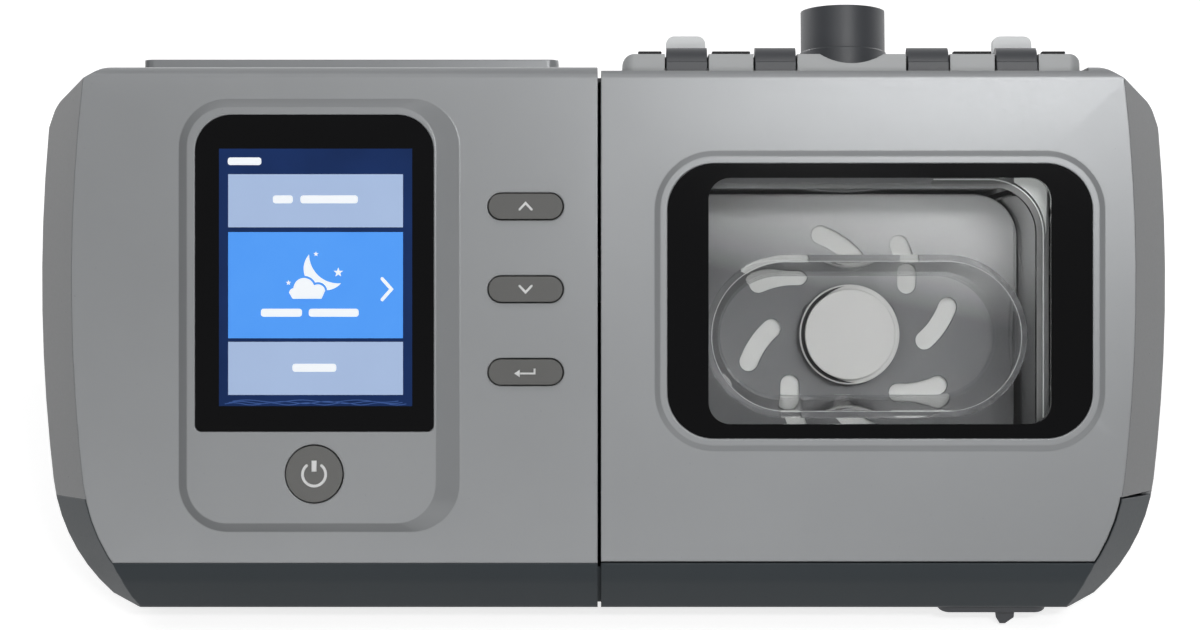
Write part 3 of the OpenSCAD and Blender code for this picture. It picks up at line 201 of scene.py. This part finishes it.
def soft_rubber(name, low, high):
    """Moulded silicone, rubber or felt: matt, a little dusty."""
    material, tree = new_material(name)
    place = add(tree, "ShaderNodeTexCoord")
    dust, shade = two_shades(tree, place, spots(3), 5.0, low, high)
    bump = add(tree, "ShaderNodeBump", {"Height": dust.outputs["Fac"]},
               {"Strength": 0.3, "Distance": 0.08 * MM})
    skin = add(tree, "ShaderNodeBsdfPrincipled",
               {"Base Color": shade.outputs[2], "Normal": bump.outputs["Normal"]},
               {"Roughness": 0.75, "Sheen Weight": 0.15})
    add(tree, "ShaderNodeOutputMaterial", {"Surface": skin.outputs["BSDF"]})
    return material


def brushed_metal(name, colour, roughness, stretch):
    """Drawn or rolled metal: fine lines along the axis whose stretch is small."""
    material, tree = new_material(name)
    place = add(tree, "ShaderNodeTexCoord")
    along = add(tree, "ShaderNodeMapping", {"Vector": place.outputs["Object"]}, {"Scale": stretch})
    lines = add(tree, "ShaderNodeTexNoise", {"Vector": along.outputs["Vector"]},
                {"Scale": spots(1), "Detail": 2.0})
    polish = add(tree, "ShaderNodeMapRange", {"Value": lines.outputs["Fac"]},
                 {"To Min": roughness - 0.08, "To Max": roughness + 0.08})
    bump = add(tree, "ShaderNodeBump", {"Height": lines.outputs["Fac"]},
               {"Strength": 0.2, "Distance": 0.03 * MM})
    skin = add(tree, "ShaderNodeBsdfPrincipled",
               {"Roughness": polish.outputs["Result"], "Normal": bump.outputs["Normal"]},
               {"Base Color": lin(colour), "Metallic": 1.0})
    add(tree, "ShaderNodeOutputMaterial", {"Surface": skin.outputs["BSDF"]})
    return material


# Case: satin ABS with a little metal flake, which gives broad soft highlights and hardly any grain;
# its outer sides carry painted shade
body_grey = moulded_abs("silver_grey_abs", "939597", "9c9ea0", roughness=0.3, metal=0.14, edge=0.5,
                        relief=0.012, sheen=0.25, painted_side_shade="545658")
# Trays: the same plastic in slate, dull enough to stay dark under the face
slate = moulded_abs("slate_abs", "383e42", "40464a", roughness=0.5, edge=0.9, sheen=0.2)
# Outlet, hinge arms, latch and flaps: dark dull ABS with a soft glint along its edges
tube_grey = moulded_abs("dark_grey_abs", "3c3e42", "424448", roughness=0.45)
# Keys: warm grey ABS with a finer grain, so that fingers leave it matt
key_grey = moulded_abs("key_grey_abs", "545452", "5a5a58", roughness=0.5, grain_mm=0.5)
power_grey = moulded_abs("power_key_grey_abs", "5e5e5c", "646462", roughness=0.5, grain_mm=0.5)
# Hinge deck: pale ABS. Its two tabs stand above this height along the face, with a paler painted
# highlight where light falls on them from above
TAB_FOOT, TAB_BODY = 0.1045, 0.1065
deck_pale = moulded_abs("pale_grey_abs", "a6a8a9", "aeb0b1", roughness=0.45,
                        painted_light_fade=("dcdedf", UP_FACE, TAB_FOOT, TAB_BODY))
# Liner and cover of the tank: unpolished ABS that spreads the light which comes through the tank
bay_grey = moulded_abs("bay_grey_abs", "cccecf", "d4d6d7", roughness=0.5)
cover_grey = moulded_abs("cover_grey_abs", "828485", "888a8b", roughness=0.5)
# Slotted plate: grey, with painted light that makes it paler towards its upper right corner
PLATE_LIGHT_WAY, PLATE_LIGHT_START, PLATE_LIGHT_END = (0.2, 0.5, 0.85), 0.056, 0.082
plate_grey = moulded_abs("grey_plate_with_painted_light", "5e6062", "646668", roughness=0.5,
                         painted_light_fade=("eaecec", PLATE_LIGHT_WAY, PLATE_LIGHT_START, PLATE_LIGHT_END))
# Blower: natural ABS without pigment, a warm white
white_abs = moulded_abs("natural_white_abs", "d2d2cf", "dadad7", roughness=0.45)
# Cap of the tank: smoother than the plate, so that it carries a broad highlight
cap_white = moulded_abs("satin_cap_white", "c6c7c5", "cccdcb", roughness=0.3, edge=0.5)
# Disc behind the slots: white acrylic with a painted glow, which stands in for the light that would
# reach it
slot_disc_painted_light = gloss_pane("white_slot_disc_painted_light", "c2c4c2", glow_and_painted_light=0.18, roughness=0.4, low="babcba")
# Screen glass and window frame: black ink behind polished acrylic, with sharp reflections
black_gloss = gloss_pane("black_gloss_acrylic", "0c0c0d", low="101012")
# Window and tank
clear = clear_plastic("clear_polycarbonate", "f8f8f8")
# Painted highlights and painted shade on clear walls: a glowing line along an edge, a pale rim, and
# a grey band where a wall is seen edge-on
painted_glint = gloss_pane("painted_glint_white", "d2d6d4", glow_and_painted_light=0.3, roughness=0.25, low="c2c6c4")
painted_rim_light = gloss_pane("painted_rim_highlight", "b0b2b2", roughness=0.3, low="a0a2a2")
painted_wall_shade = gloss_pane("painted_wall_edge_shade", "7a7c7c", roughness=0.4, low="6a6c6c")
# Feet, mounts and pads in black rubber; ducts and seals in silicone: neither has a highlight
rubber = soft_rubber("black_rubber", "1c1c1d", "262627")
silicone = soft_rubber("pale_silicone", "c4c6c6", "d0d2d2")
dull_silicone = soft_rubber("grey_silicone", "7c7e7e", "868888")
# Screws and springs of drawn steel, heater of rolled aluminium: their highlights stretch
steel = brushed_metal("drawn_steel", "b8b8ba", 0.34, (0.1, 1.0, 1.0))
aluminium = brushed_metal("rolled_aluminium", "c8c9cb", 0.38, (1.0, 0.1, 1.0))
# Circuit boards: green lacquer with a soft gloss
board = gloss_pane("solder_mask_green", "0e4a28", roughness=0.35, low="0b3d21")
# Air filter: pressed felt
filter_white = soft_rubber("pleated_filter_felt", "d6d6d2", "e4e4e0")

FINISHES = {
    body_grey: "main_front_cover main_rear_housing humidifier_housing lid_shell",
    slate: "main_base_tray humidifier_base_tray",
    tube_grey: "outlet_tube lid_hinge_arms latch_guide latch_slider filter_door card_slot_cover "
               "inlet_duct blower_impeller",
    key_grey: "up_button down_button enter_button",
    power_grey: "power_button",
    deck_pale: "hinge_deck",
    bay_grey: "tank_bay",
    cover_grey: "tank_cover",
    plate_grey: "vent_plate",
    white_abs: "blower_housing blower_cover",
    cap_white: "fill_cap",
    slot_disc_painted_light: "diffuser_disc",
    black_gloss: "screen_glass window_frame power_inlet heater_carrier display_panel",
    clear: "window_lens tank_body",
    rubber: "dock_seal blower_mounts main_feet humidifier_feet window_seal deck_pads hinge_pins",
    silicone: "outlet_duct outlet_seal",
    dull_silicone: "tank_gasket",
    steel: "board_screws key_switches blower_motor main_screws humidifier_screws heater_springs",
    aluminium: "heater_plate",
    board: "control_board main_board",
    filter_white: "air_filter",
}


def finish_node(obj, material):
    """Gives a CAD node its finish, and rounds off the facets of its curved faces."""
    obj.data.materials.clear()
    obj.data.materials.append(material)
    for face in obj.data.polygons:
        face.use_smooth = True
    weld = obj.modifiers.new("join_facets", "WELD")
    weld.merge_threshold = 0.002 * MM
    edges = obj.modifiers.new("keep_edges", "EDGE_SPLIT")
    edges.split_angle = math.radians(16)


for material, names in FINISHES.items():
    for name in names.split():
        finish_node(nodes[name], material)


# ---------------------------------------------------------------- pieces


def piece(name, mesh, material, body):
    obj = bpy.data.objects.new(name, mesh)
    bpy.context.scene.collection.objects.link(obj)
    mesh.materials.append(material)
    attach(obj, body)
    return obj


def raised_shape(name, outlines, w, thick, material, body, holes=()):
    """A thin shape on the face: outlines and holes are lists of (u, v) in millimetres."""
    curve = bpy.data.curves.new(name, "CURVE")
    curve.dimensions = "2D"
    curve.fill_mode = "BOTH"
    curve.extrude = thick / 2
    for outline in list(outlines) + list(holes):
        line = curve.splines.new("POLY")
        line.points.add(len(outline) - 1)
        for point, (u, v) in zip(line.points, outline):
            point.co = (u, v, 0, 1)
        line.use_cyclic_u = True
    flat = bpy.data.objects.new(name, curve)
    bpy.context.scene.collection.objects.link(flat)
    seen = flat.evaluated_get(bpy.context.evaluated_depsgraph_get())
    mesh = bpy.data.meshes.new_from_object(seen)
    bpy.data.objects.remove(flat)
    for vertex in mesh.vertices:
        u, v, h = vertex.co
        vertex.co = on_face(u, v, w + thick / 2 + h)
    return piece(name, mesh, material, body)


def circle(u, v, r, count=48):
    return [(u + r * math.cos(t), v + r * math.sin(t))
            for t in (2 * math.pi * k / count for k in range(count))]


def box(u0, v0, u1, v1, r=0.0, count=6):
    """A rectangle with round corners."""
    if r <= 0:
        return [(u0, v0), (u1, v0), (u1, v1), (u0, v1)]
    out = []
    for cu, cv, start in ((u1 - r, v0 + r, -90), (u1 - r, v1 - r, 0),
                          (u0 + r, v1 - r, 90), (u0 + r, v0 + r, 180)):
        for k in range(count + 1):
            t = math.radians(start + 90 * k / count)
            out.append((cu + r * math.cos(t), cv + r * math.sin(t)))
    return out


def stroke(points, width):
    """A line of a given width with round ends, through the points."""
    left, right = [], []
    count = len(points)
    for i, (u, v) in enumerate(points):
        a = Vector(points[max(0, i - 1)])
        b = Vector(points[min(count - 1, i + 1)])
        d = (b - a).normalized()
        n = Vector((-d.y, d.x))
        if 0 < i < count - 1:
            before = (Vector(points[i]) - a).normalized()
            n = n / max(0.3, abs(n.dot(Vector((-before.y, before.x)))))
        left.append((u + n.x * width / 2, v + n.y * width / 2))
        right.append((u - n.x * width / 2, v - n.y * width / 2))

    def cap(p, d):
        t0 = math.atan2(d.y, d.x)
        return [(p[0] + width / 2 * math.cos(t0 + math.radians(t)),
                 p[1] + width / 2 * math.sin(t0 + math.radians(t))) for t in (60, 30, 0, -30, -60)]

    last = (Vector(points[-1]) - Vector(points[-2])).normalized()
    first = (Vector(points[0]) - Vector(points[1])).normalized()
    return left + cap(points[-1], last) + right[::-1] + cap(points[0], first)


# Screen picture: a plain menu of three tiles with bars, a moon and a cloud, in thin lit layers
LCD_U, LCD_V, LCD_W, LCD_H = SCREEN_U + 0.3, GLASS_V + 6.3, GLASS_W - 11.2, GLASS_H - 14.7
LAYER = 0.05
screen_navy = gloss_pane("screen_navy", "1b3469", glow_and_painted_light=0.3, low="132446")
screen_tile = gloss_pane("screen_pale_tile", "a9bedf", glow_and_painted_light=0.3, low="a2b6d8")
screen_blue = gloss_pane("screen_blue_tile", "5aa2f8", glow_and_painted_light=0.3, low="4c95f2")
screen_wave = gloss_pane("screen_pale_wave", "4a67a3", glow_and_painted_light=0.3, low="34508c")
screen_white = gloss_pane("screen_white", "f2f6fa", glow_and_painted_light=0.3)
ink_white = moulded_abs("white_pad_print", "e6e6e6", "eeeeee", roughness=0.5, relief=0.01)

left, right = LCD_U - LCD_W / 2, LCD_U + LCD_W / 2
low, high = LCD_V, LCD_V + LCD_H
raised_shape("screen_picture", [box(left, low, right, high)], GLASS_FRONT, LAYER, screen_navy,
             "main_unit")
# Lower edge, upper edge and colour of each tile
TILES = [(84.3, 97.6, screen_tile), (56.5, 83.1, screen_blue), (42.3, 55.6, screen_tile)]
TILE_HALF = 21.9
for i, (v0, v1, paint) in enumerate(TILES):
    raised_shape("screen_tile_%d" % (i + 1), [box(LCD_U - TILE_HALF, v0, LCD_U + TILE_HALF, v1)],
                 GLASS_FRONT + LAYER, 0.04, paint, "main_unit")


def wave(u0, u1, v, height, turns, count=40):
    """A smooth wavy line across the screen."""
    return [(u0 + (u1 - u0) * k / count, v + height * math.sin(2 * math.pi * turns * k / count))
            for k in range(count + 1)]


WAVE_INSET, WAVE_V, WAVE_STEP, WAVE_HEIGHT, WAVE_WIDTH = 1.5, 0.55, 0.35, 0.28, 0.18
for k in range(3):
    line = wave(left + WAVE_INSET + k, right - WAVE_INSET - k, low + WAVE_V + WAVE_STEP * k,
                WAVE_HEIGHT, 5 - k)
    raised_shape("screen_wave_%d" % (k + 1), [stroke(line, WAVE_WIDTH)], GLASS_FRONT + LAYER, 0.03,
                 screen_wave, "main_unit")


def turned(points, u, v, angle):
    """The points, turned about zero and then moved to (u, v)."""
    c, d = math.cos(angle), math.sin(angle)
    return [(u + a * c - b * d, v + a * d + b * c) for a, b in points]


def crescent(u, v, r, thick, angle, count=24):
    """A new moon: half a circle outside, and a flatter arc through its two horns inside."""
    sag = r - thick
    wide = (r * r + sag * sag) / (2 * sag)
    half = math.asin(r / wide)
    outer = [(r * math.cos(t), r * math.sin(t))
             for t in (math.pi * (k / count - 0.5) for k in range(count + 1))]
    inner = [(sag - wide + wide * math.cos(t), wide * math.sin(t))
             for t in (half * (1 - 2 * k / count) for k in range(1, count))]
    return turned(outer + inner, u, v, angle)


def cloud(u, v, grow=0.0, count=60):
    """A flat-bottomed cloud: the upper outline of three balls."""
    balls = [(-3.3, 1.35, 1.35 + grow), (-0.9, 2.6, 2.6 + grow), (2.6, 1.8, 1.8 + grow)]
    ends = (balls[0][0] - balls[0][2] + 0.01, balls[2][0] + balls[2][2] - 0.01)
    top = []
    for k in range(count + 1):
        x = ends[0] + (ends[1] - ends[0]) * k / count
        top.append((x, max(y + math.sqrt(max(0.0, r * r - (x - c) ** 2)) for c, y, r in balls
                           if abs(x - c) <= r)))
    base = [(ends[1] - 0.9, -grow), (ends[0] + 0.9, -grow)]
    return turned(top + base, u, v, 0.0)


def star(u, v, r, points=5):
    """A star with its inner corners at 0.42 of its radius."""
    reach = [(r if k % 2 == 0 else 0.42 * r, math.pi * k / points) for k in range(2 * points)]
    return turned([(s * math.cos(t), s * math.sin(t)) for s, t in reach], u, v, math.radians(18))


def menu_bars(v0, v1, *spans):
    """Bars of one line of the menu, with softened corners."""
    return [box(a, v0, b, v1, (v1 - v0) * 0.35) for a, b in spans]


marks = menu_bars(99.9, 101.8, (left + 2.2, left + 10.6))
marks += menu_bars(90.3, 92.3, (-82.9, -77.9), (-76.0, -61.6))
marks += menu_bars(61.9, 63.9, (-85.9, -75.6), (-73.9, -61.4))
marks += menu_bars(48.1, 50.1, (-78.0, -67.0))
marks += [stroke([(-55.5, 71.4), (-53.2, 68.8), (-55.5, 66.2)], 0.85),
          crescent(-69.8, 73.9, 5.4, 3.0, math.radians(228)),
          star(-72.1, 77.6, 0.7), star(-66.5, 73.0, 1.25), star(-79.0, 70.4, 0.7)]
CLOUD_U, CLOUD_V, CLOUD_RIM = -74.2, 66.4, 0.55
raised_shape("screen_marks", marks, GLASS_FRONT + 0.09, 0.04, screen_white, "main_unit")
raised_shape("screen_cloud_rim", [cloud(CLOUD_U, CLOUD_V, CLOUD_RIM)], GLASS_FRONT + 0.12, 0.02,
             screen_blue, "main_unit")
raised_shape("screen_cloud", [cloud(CLOUD_U, CLOUD_V)], GLASS_FRONT + 0.14, 0.03, screen_white,
             "main_unit")

# Signs on the keys: pad-printed white ink, which stands a hair above the key
INK = 0.05
for k, (key, body) in enumerate((("enter", "enter_key"), ("down", "down_key"), ("up", "up_key"))):
    v = KEY_V + k * KEY_PITCH
    if key == "enter":
        sign = [box(KEY_U - 1.4, v - 0.6, KEY_U + 2.5, v - 0.1),
                box(KEY_U + 2.0, v - 0.1, KEY_U + 2.5, v + 0.9),
                [(KEY_U - 1.45, v + 0.6), (KEY_U - 2.9, v - 0.35), (KEY_U - 1.45, v - 1.3)]]
    else:
        way = 1 if key == "up" else -1
        sign = [stroke([(KEY_U - 1.5, v - 0.8 * way), (KEY_U, v + 0.8 * way),
                        (KEY_U + 1.5, v - 0.8 * way)], 0.6)]
    raised_shape(key + "_sign", sign, KEY_FRONT, INK, ink_white, body)
# The power sign is a ring, open at the top for 80 degrees, with a bar in the gap
RING_R, RING_STEPS = 2.9, 26
arc = [(SCREEN_U + RING_R * math.sin(t), POWER_V + RING_R * math.cos(t))
       for t in (math.radians(40 + 280 * k / RING_STEPS) for k in range(RING_STEPS + 1))]
bar = box(SCREEN_U - 0.64, POWER_V + 0.7, SCREEN_U + 0.64, POWER_V + 3.5)
raised_shape("power_sign", [stroke(arc, 0.72), bar], POWER_FRONT, INK, ink_white, "power_key")


# Painted highlight and painted shade on the water tank: along the edge of its grip recess and round
# its front corner
TANK_FRONT, TANK_RIGHT, TANK_TOP, TANK_CORNER = -10.0, 112.0, 97.0, 14.0
RECESS_U, RECESS_V, RECESS_W, RECESS_H = 66.9, 56.9, 78.6, 37.9


def grown_recess(grow):
    """The round-ended outline of the grip recess, moved outwards."""
    half_w, half_h = RECESS_W / 2 + grow, RECESS_H / 2 + grow
    return box(RECESS_U - half_w, RECESS_V - half_h, RECESS_U + half_w, RECESS_V + half_h,
               half_h, 20)


raised_shape("recess_rim_painted_highlight", [grown_recess(0.22)], TANK_FRONT, 0.1, painted_rim_light, "humidifier",
             holes=[grown_recess(0.05)])


EDGE_LENGTH, EDGE_FOOT = 28.0, 34.0


def tank_corner(inset, count=16):
    """Along the tank's top edge, round its corner and down its right edge."""
    r = TANK_CORNER - inset
    cu, cv = TANK_RIGHT - TANK_CORNER, TANK_TOP - TANK_CORNER
    arc = [(cu + r * math.cos(t), cv + r * math.sin(t))
           for t in (math.pi / 2 * (1 - k / count) for k in range(count + 1))]
    return ([(TANK_RIGHT - EDGE_LENGTH, TANK_TOP - inset)] + arc
            + [(TANK_RIGHT - inset, EDGE_FOOT)])


# A grey band of painted shade inside the tank's corner, and a thin glowing line of painted
# highlight along it
raised_shape("tank_wall_painted_shade", [stroke(tank_corner(1.15), 1.5)], TANK_FRONT, 0.1, painted_wall_shade,
             "humidifier")
raised_shape("tank_edge_painted_highlight", [stroke(tank_corner(0.2), 0.3)], TANK_FRONT + 0.1, 0.05, painted_glint,
             "humidifier")
# Painted light: a bright piece at the bay's corner, which shows past the tank's round corner
raised_shape("bay_corner_painted_light", [tank_corner(-0.6)[1:-1] + [(TANK_RIGHT + 1.0, TANK_TOP + 0.6)]],
             TANK_FRONT - 1.6, 0.8, painted_glint, "humidifier")
# Soft skirt that closes the plate against the tank's walls
PLATE_W, PLATE_LEFT, PLATE_RIGHT, PLATE_TOP = -48.0, 13.0, 109.0, 94.0
SKIRT_FOOT = 40
skirt_outer = box(PLATE_LEFT - 0.8, SKIRT_FOOT, PLATE_RIGHT + 0.8, PLATE_TOP + 0.4, 11.4, 12)
skirt_inner = box(PLATE_LEFT + 0.6, SKIRT_FOOT + 1, PLATE_RIGHT - 0.6, PLATE_TOP - 0.8, 10.4, 12)
raised_shape("plate_skirt", [skirt_outer], PLATE_W + 0.2, 0.6, plate_grey, "humidifier",
             holes=[skirt_inner])
# Painted shadow: a dark crescent beside the cap on its left
CAP_U, CAP_V, CAP_FLANGE, CAP_R = 65.0, 57.2, -41.5, 11.9
raised_shape("cap_painted_shadow", [crescent(CAP_U, CAP_V, CAP_R + 0.9, 1.9, math.radians(186), 40)],
             CAP_FLANGE, 0.3, rubber, "cap")


def row_of_folds(name, start, count, pitch, radius, height, material, body):
    """A row of flattened upright folds, repeated by a Geometry Nodes rule; all sizes in metres."""
    tree = bpy.data.node_groups.new(name + "_rule", "GeometryNodeTree")
    sockets = {}
    for label, kind in (("Count", "NodeSocketInt"), ("Pitch", "NodeSocketFloat"),
                        ("Radius", "NodeSocketFloat"), ("Height", "NodeSocketFloat")):
        sockets[label] = tree.interface.new_socket(label, in_out="INPUT", socket_type=kind)
    tree.interface.new_socket("Geometry", in_out="OUTPUT", socket_type="NodeSocketGeometry")
    given = add(tree, "NodeGroupInput")
    step = add(tree, "ShaderNodeCombineXYZ", {"X": given.outputs["Pitch"]})
    row = add(tree, "GeometryNodeMeshLine",
              {"Count": given.outputs["Count"], "Offset": step.outputs[0]},
              {"Start Location": start}, mode="OFFSET")
    fold = add(tree, "GeometryNodeMeshCylinder",
               {"Radius": given.outputs["Radius"], "Depth": given.outputs["Height"]},
               {"Vertices": 16})
    laid = add(tree, "GeometryNodeInstanceOnPoints", {"Points": row.outputs[0],
                                                      "Instance": fold.outputs[0]},
               {"Scale": (1.0, 0.5, 1.0)})
    solid = add(tree, "GeometryNodeRealizeInstances", {0: laid.outputs[0]})
    painted = add(tree, "GeometryNodeSetMaterial", {"Geometry": solid.outputs[0]},
                  {"Material": material})
    add(tree, "NodeGroupOutput", {0: painted.outputs[0]})
    host = bpy.data.objects.new(name + "_host", bpy.data.meshes.new(name + "_host"))
    bpy.context.scene.collection.objects.link(host)
    rule = host.modifiers.new("rule", "NODES")
    rule.node_group = tree
    sizes = {"Count": count, "Pitch": pitch, "Radius": radius, "Height": height}
    for label, value in sizes.items():
        rule[sockets[label].identifier] = value
    seen = host.evaluated_get(bpy.context.evaluated_depsgraph_get())
    mesh = bpy.data.meshes.new_from_object(seen)
    bpy.data.objects.remove(host)
    mesh.materials.clear()
    return piece(name, mesh, material, body)


# Pleats of the air filter, behind the slots of its door
row_of_folds("filter_pleats", (-0.1087, 0.0870, 0.04076), count=17, pitch=0.00234, radius=0.00105,
             height=0.0222, material=filter_white, body="main_unit")


# ---------------------------------------------------------------- light, floor and camera


def softbox(name, place, size, power, aim):
    """A rectangular lamp that shines from its place to the point it is aimed at."""
    lamp = bpy.data.lights.new(name, "AREA")
    lamp.shape = "RECTANGLE"
    lamp.size, lamp.size_y = size
    lamp.energy = power
    obj = bpy.data.objects.new(name, lamp)
    bpy.context.scene.collection.objects.link(obj)
    obj.location = place
    obj.rotation_euler = (obj.location - aim).to_track_quat("Z", "Y").to_euler()
    obj.visible_camera = False
    # The clear walls already pass a lamp's light by their shadow rays
    obj.visible_transmission = False
    return obj


FACE_MIDDLE = on_face(0, 62)
MACHINE_MIDDLE = Vector((0, 0, 0.06))
softbox("front_softbox", on_face(-60, 430, 1500), (1.6, 0.3), 2.8, FACE_MIDDLE)
softbox("top_softbox", on_face(0, 1050, 1150), (1.2, 0.5), 3.6, FACE_MIDDLE)
softbox("corner_softbox", on_face(220, 230, 900), (0.3, 0.08), 2.6, on_face(60, 80))
softbox("low_softbox", on_face(-250, -200, 1200), (1.0, 0.25), 2.6, on_face(0, 40))
# Two more light the sides and the back, and reach nothing that faces forward
for side in (-1, 1):
    softbox("back_softbox_%d" % (side + 2), Vector((side * 0.7, 0.86, 0.36)), (0.6, 0.4), 7.0,
            MACHINE_MIDDLE)


def backdrop_rays(tree):
    """1 for the rays of the camera, of mirrors and of clear walls, which see the backdrop."""
    path = add(tree, "ShaderNodeLightPath")
    sharp = add(tree, "ShaderNodeMath",
                {0: path.outputs["Is Camera Ray"], 1: path.outputs["Is Glossy Ray"]},
                operation="MAXIMUM")
    looked = add(tree, "ShaderNodeMath",
                 {0: sharp.outputs[0], 1: path.outputs["Is Transmission Ray"]}, operation="MAXIMUM")
    return looked.outputs[0]


world = bpy.data.worlds.new("studio")
bpy.context.scene.world = world
world.use_nodes = True
tree = world.node_tree
tree.nodes.clear()
# The backdrop behind the machine is white, and the room before it dim
way = add(tree, "ShaderNodeTexCoord")
parts = add(tree, "ShaderNodeSeparateXYZ", {0: way.outputs["Generated"]})
behind = add(tree, "ShaderNodeMapRange", {"Value": parts.outputs["Y"]},
             {"From Min": -0.1, "From Max": 0.25})
share = add(tree, "ShaderNodeMath", {0: backdrop_rays(tree), 1: behind.outputs[0]},
            operation="MULTIPLY")
room = add(tree, "ShaderNodeBackground", values={"Color": (1, 1, 1, 1), "Strength": 0.12})
white = add(tree, "ShaderNodeBackground", values={"Color": (1, 1, 1, 1), "Strength": 1.0})
seen = add(tree, "ShaderNodeMixShader", {0: share.outputs[0], 1: room.outputs[0],
                                         2: white.outputs[0]})
add(tree, "ShaderNodeOutputWorld", {"Surface": seen.outputs[0]})

floor_mesh = bpy.data.meshes.new("table_top")
floor_mesh.from_pydata([(-4, -4, 0), (4, -4, 0), (4, 4, 0), (-4, 4, 0)], [], [(0, 1, 2, 3)])
floor = bpy.data.objects.new("table_top", floor_mesh)
bpy.context.scene.collection.objects.link(floor)
# Matt pale laminate, mottled so faintly that it reads as one tone
material, tree = new_material("pale_table_top")
place = add(tree, "ShaderNodeTexCoord")
_, shade = two_shades(tree, place, 3.0, 2.0, "b4b4b4", "b8b8b8")
matt = add(tree, "ShaderNodeBsdfDiffuse", {"Color": shade.outputs[2]})
shine = add(tree, "ShaderNodeEmission", values={"Color": (1, 1, 1, 1), "Strength": 0.78})
lit = add(tree, "ShaderNodeAddShader", {0: matt.outputs[0], 1: shine.outputs[0]})
# What the table throws back on the machine comes from a darker grey, so that the chin stays dark
bounce = add(tree, "ShaderNodeBsdfDiffuse", values={"Color": lin("6e6e6e")})
seen = add(tree, "ShaderNodeMixShader", {0: backdrop_rays(tree), 1: bounce.outputs[0],
                                         2: lit.outputs[0]})
add(tree, "ShaderNodeOutputMaterial", {"Surface": seen.outputs[0]})
floor_mesh.materials.append(material)

# The camera looks straight at the face, from 0.8 m, as the photograph does
camera_data = bpy.data.cameras.new("camera")
camera_data.sensor_width = 36.0
camera_data.lens = 95.5
camera_data.clip_start = 0.01
camera = bpy.data.objects.new("camera", camera_data)
bpy.context.scene.collection.objects.link(camera)
camera.location = (-0.00093, -0.7517, 0.4789)
camera.rotation_euler = (math.radians(90) - LEAN, 0, 0)
bpy.context.scene.camera = camera
bpy.context.scene.view_settings.view_transform = "Standard"
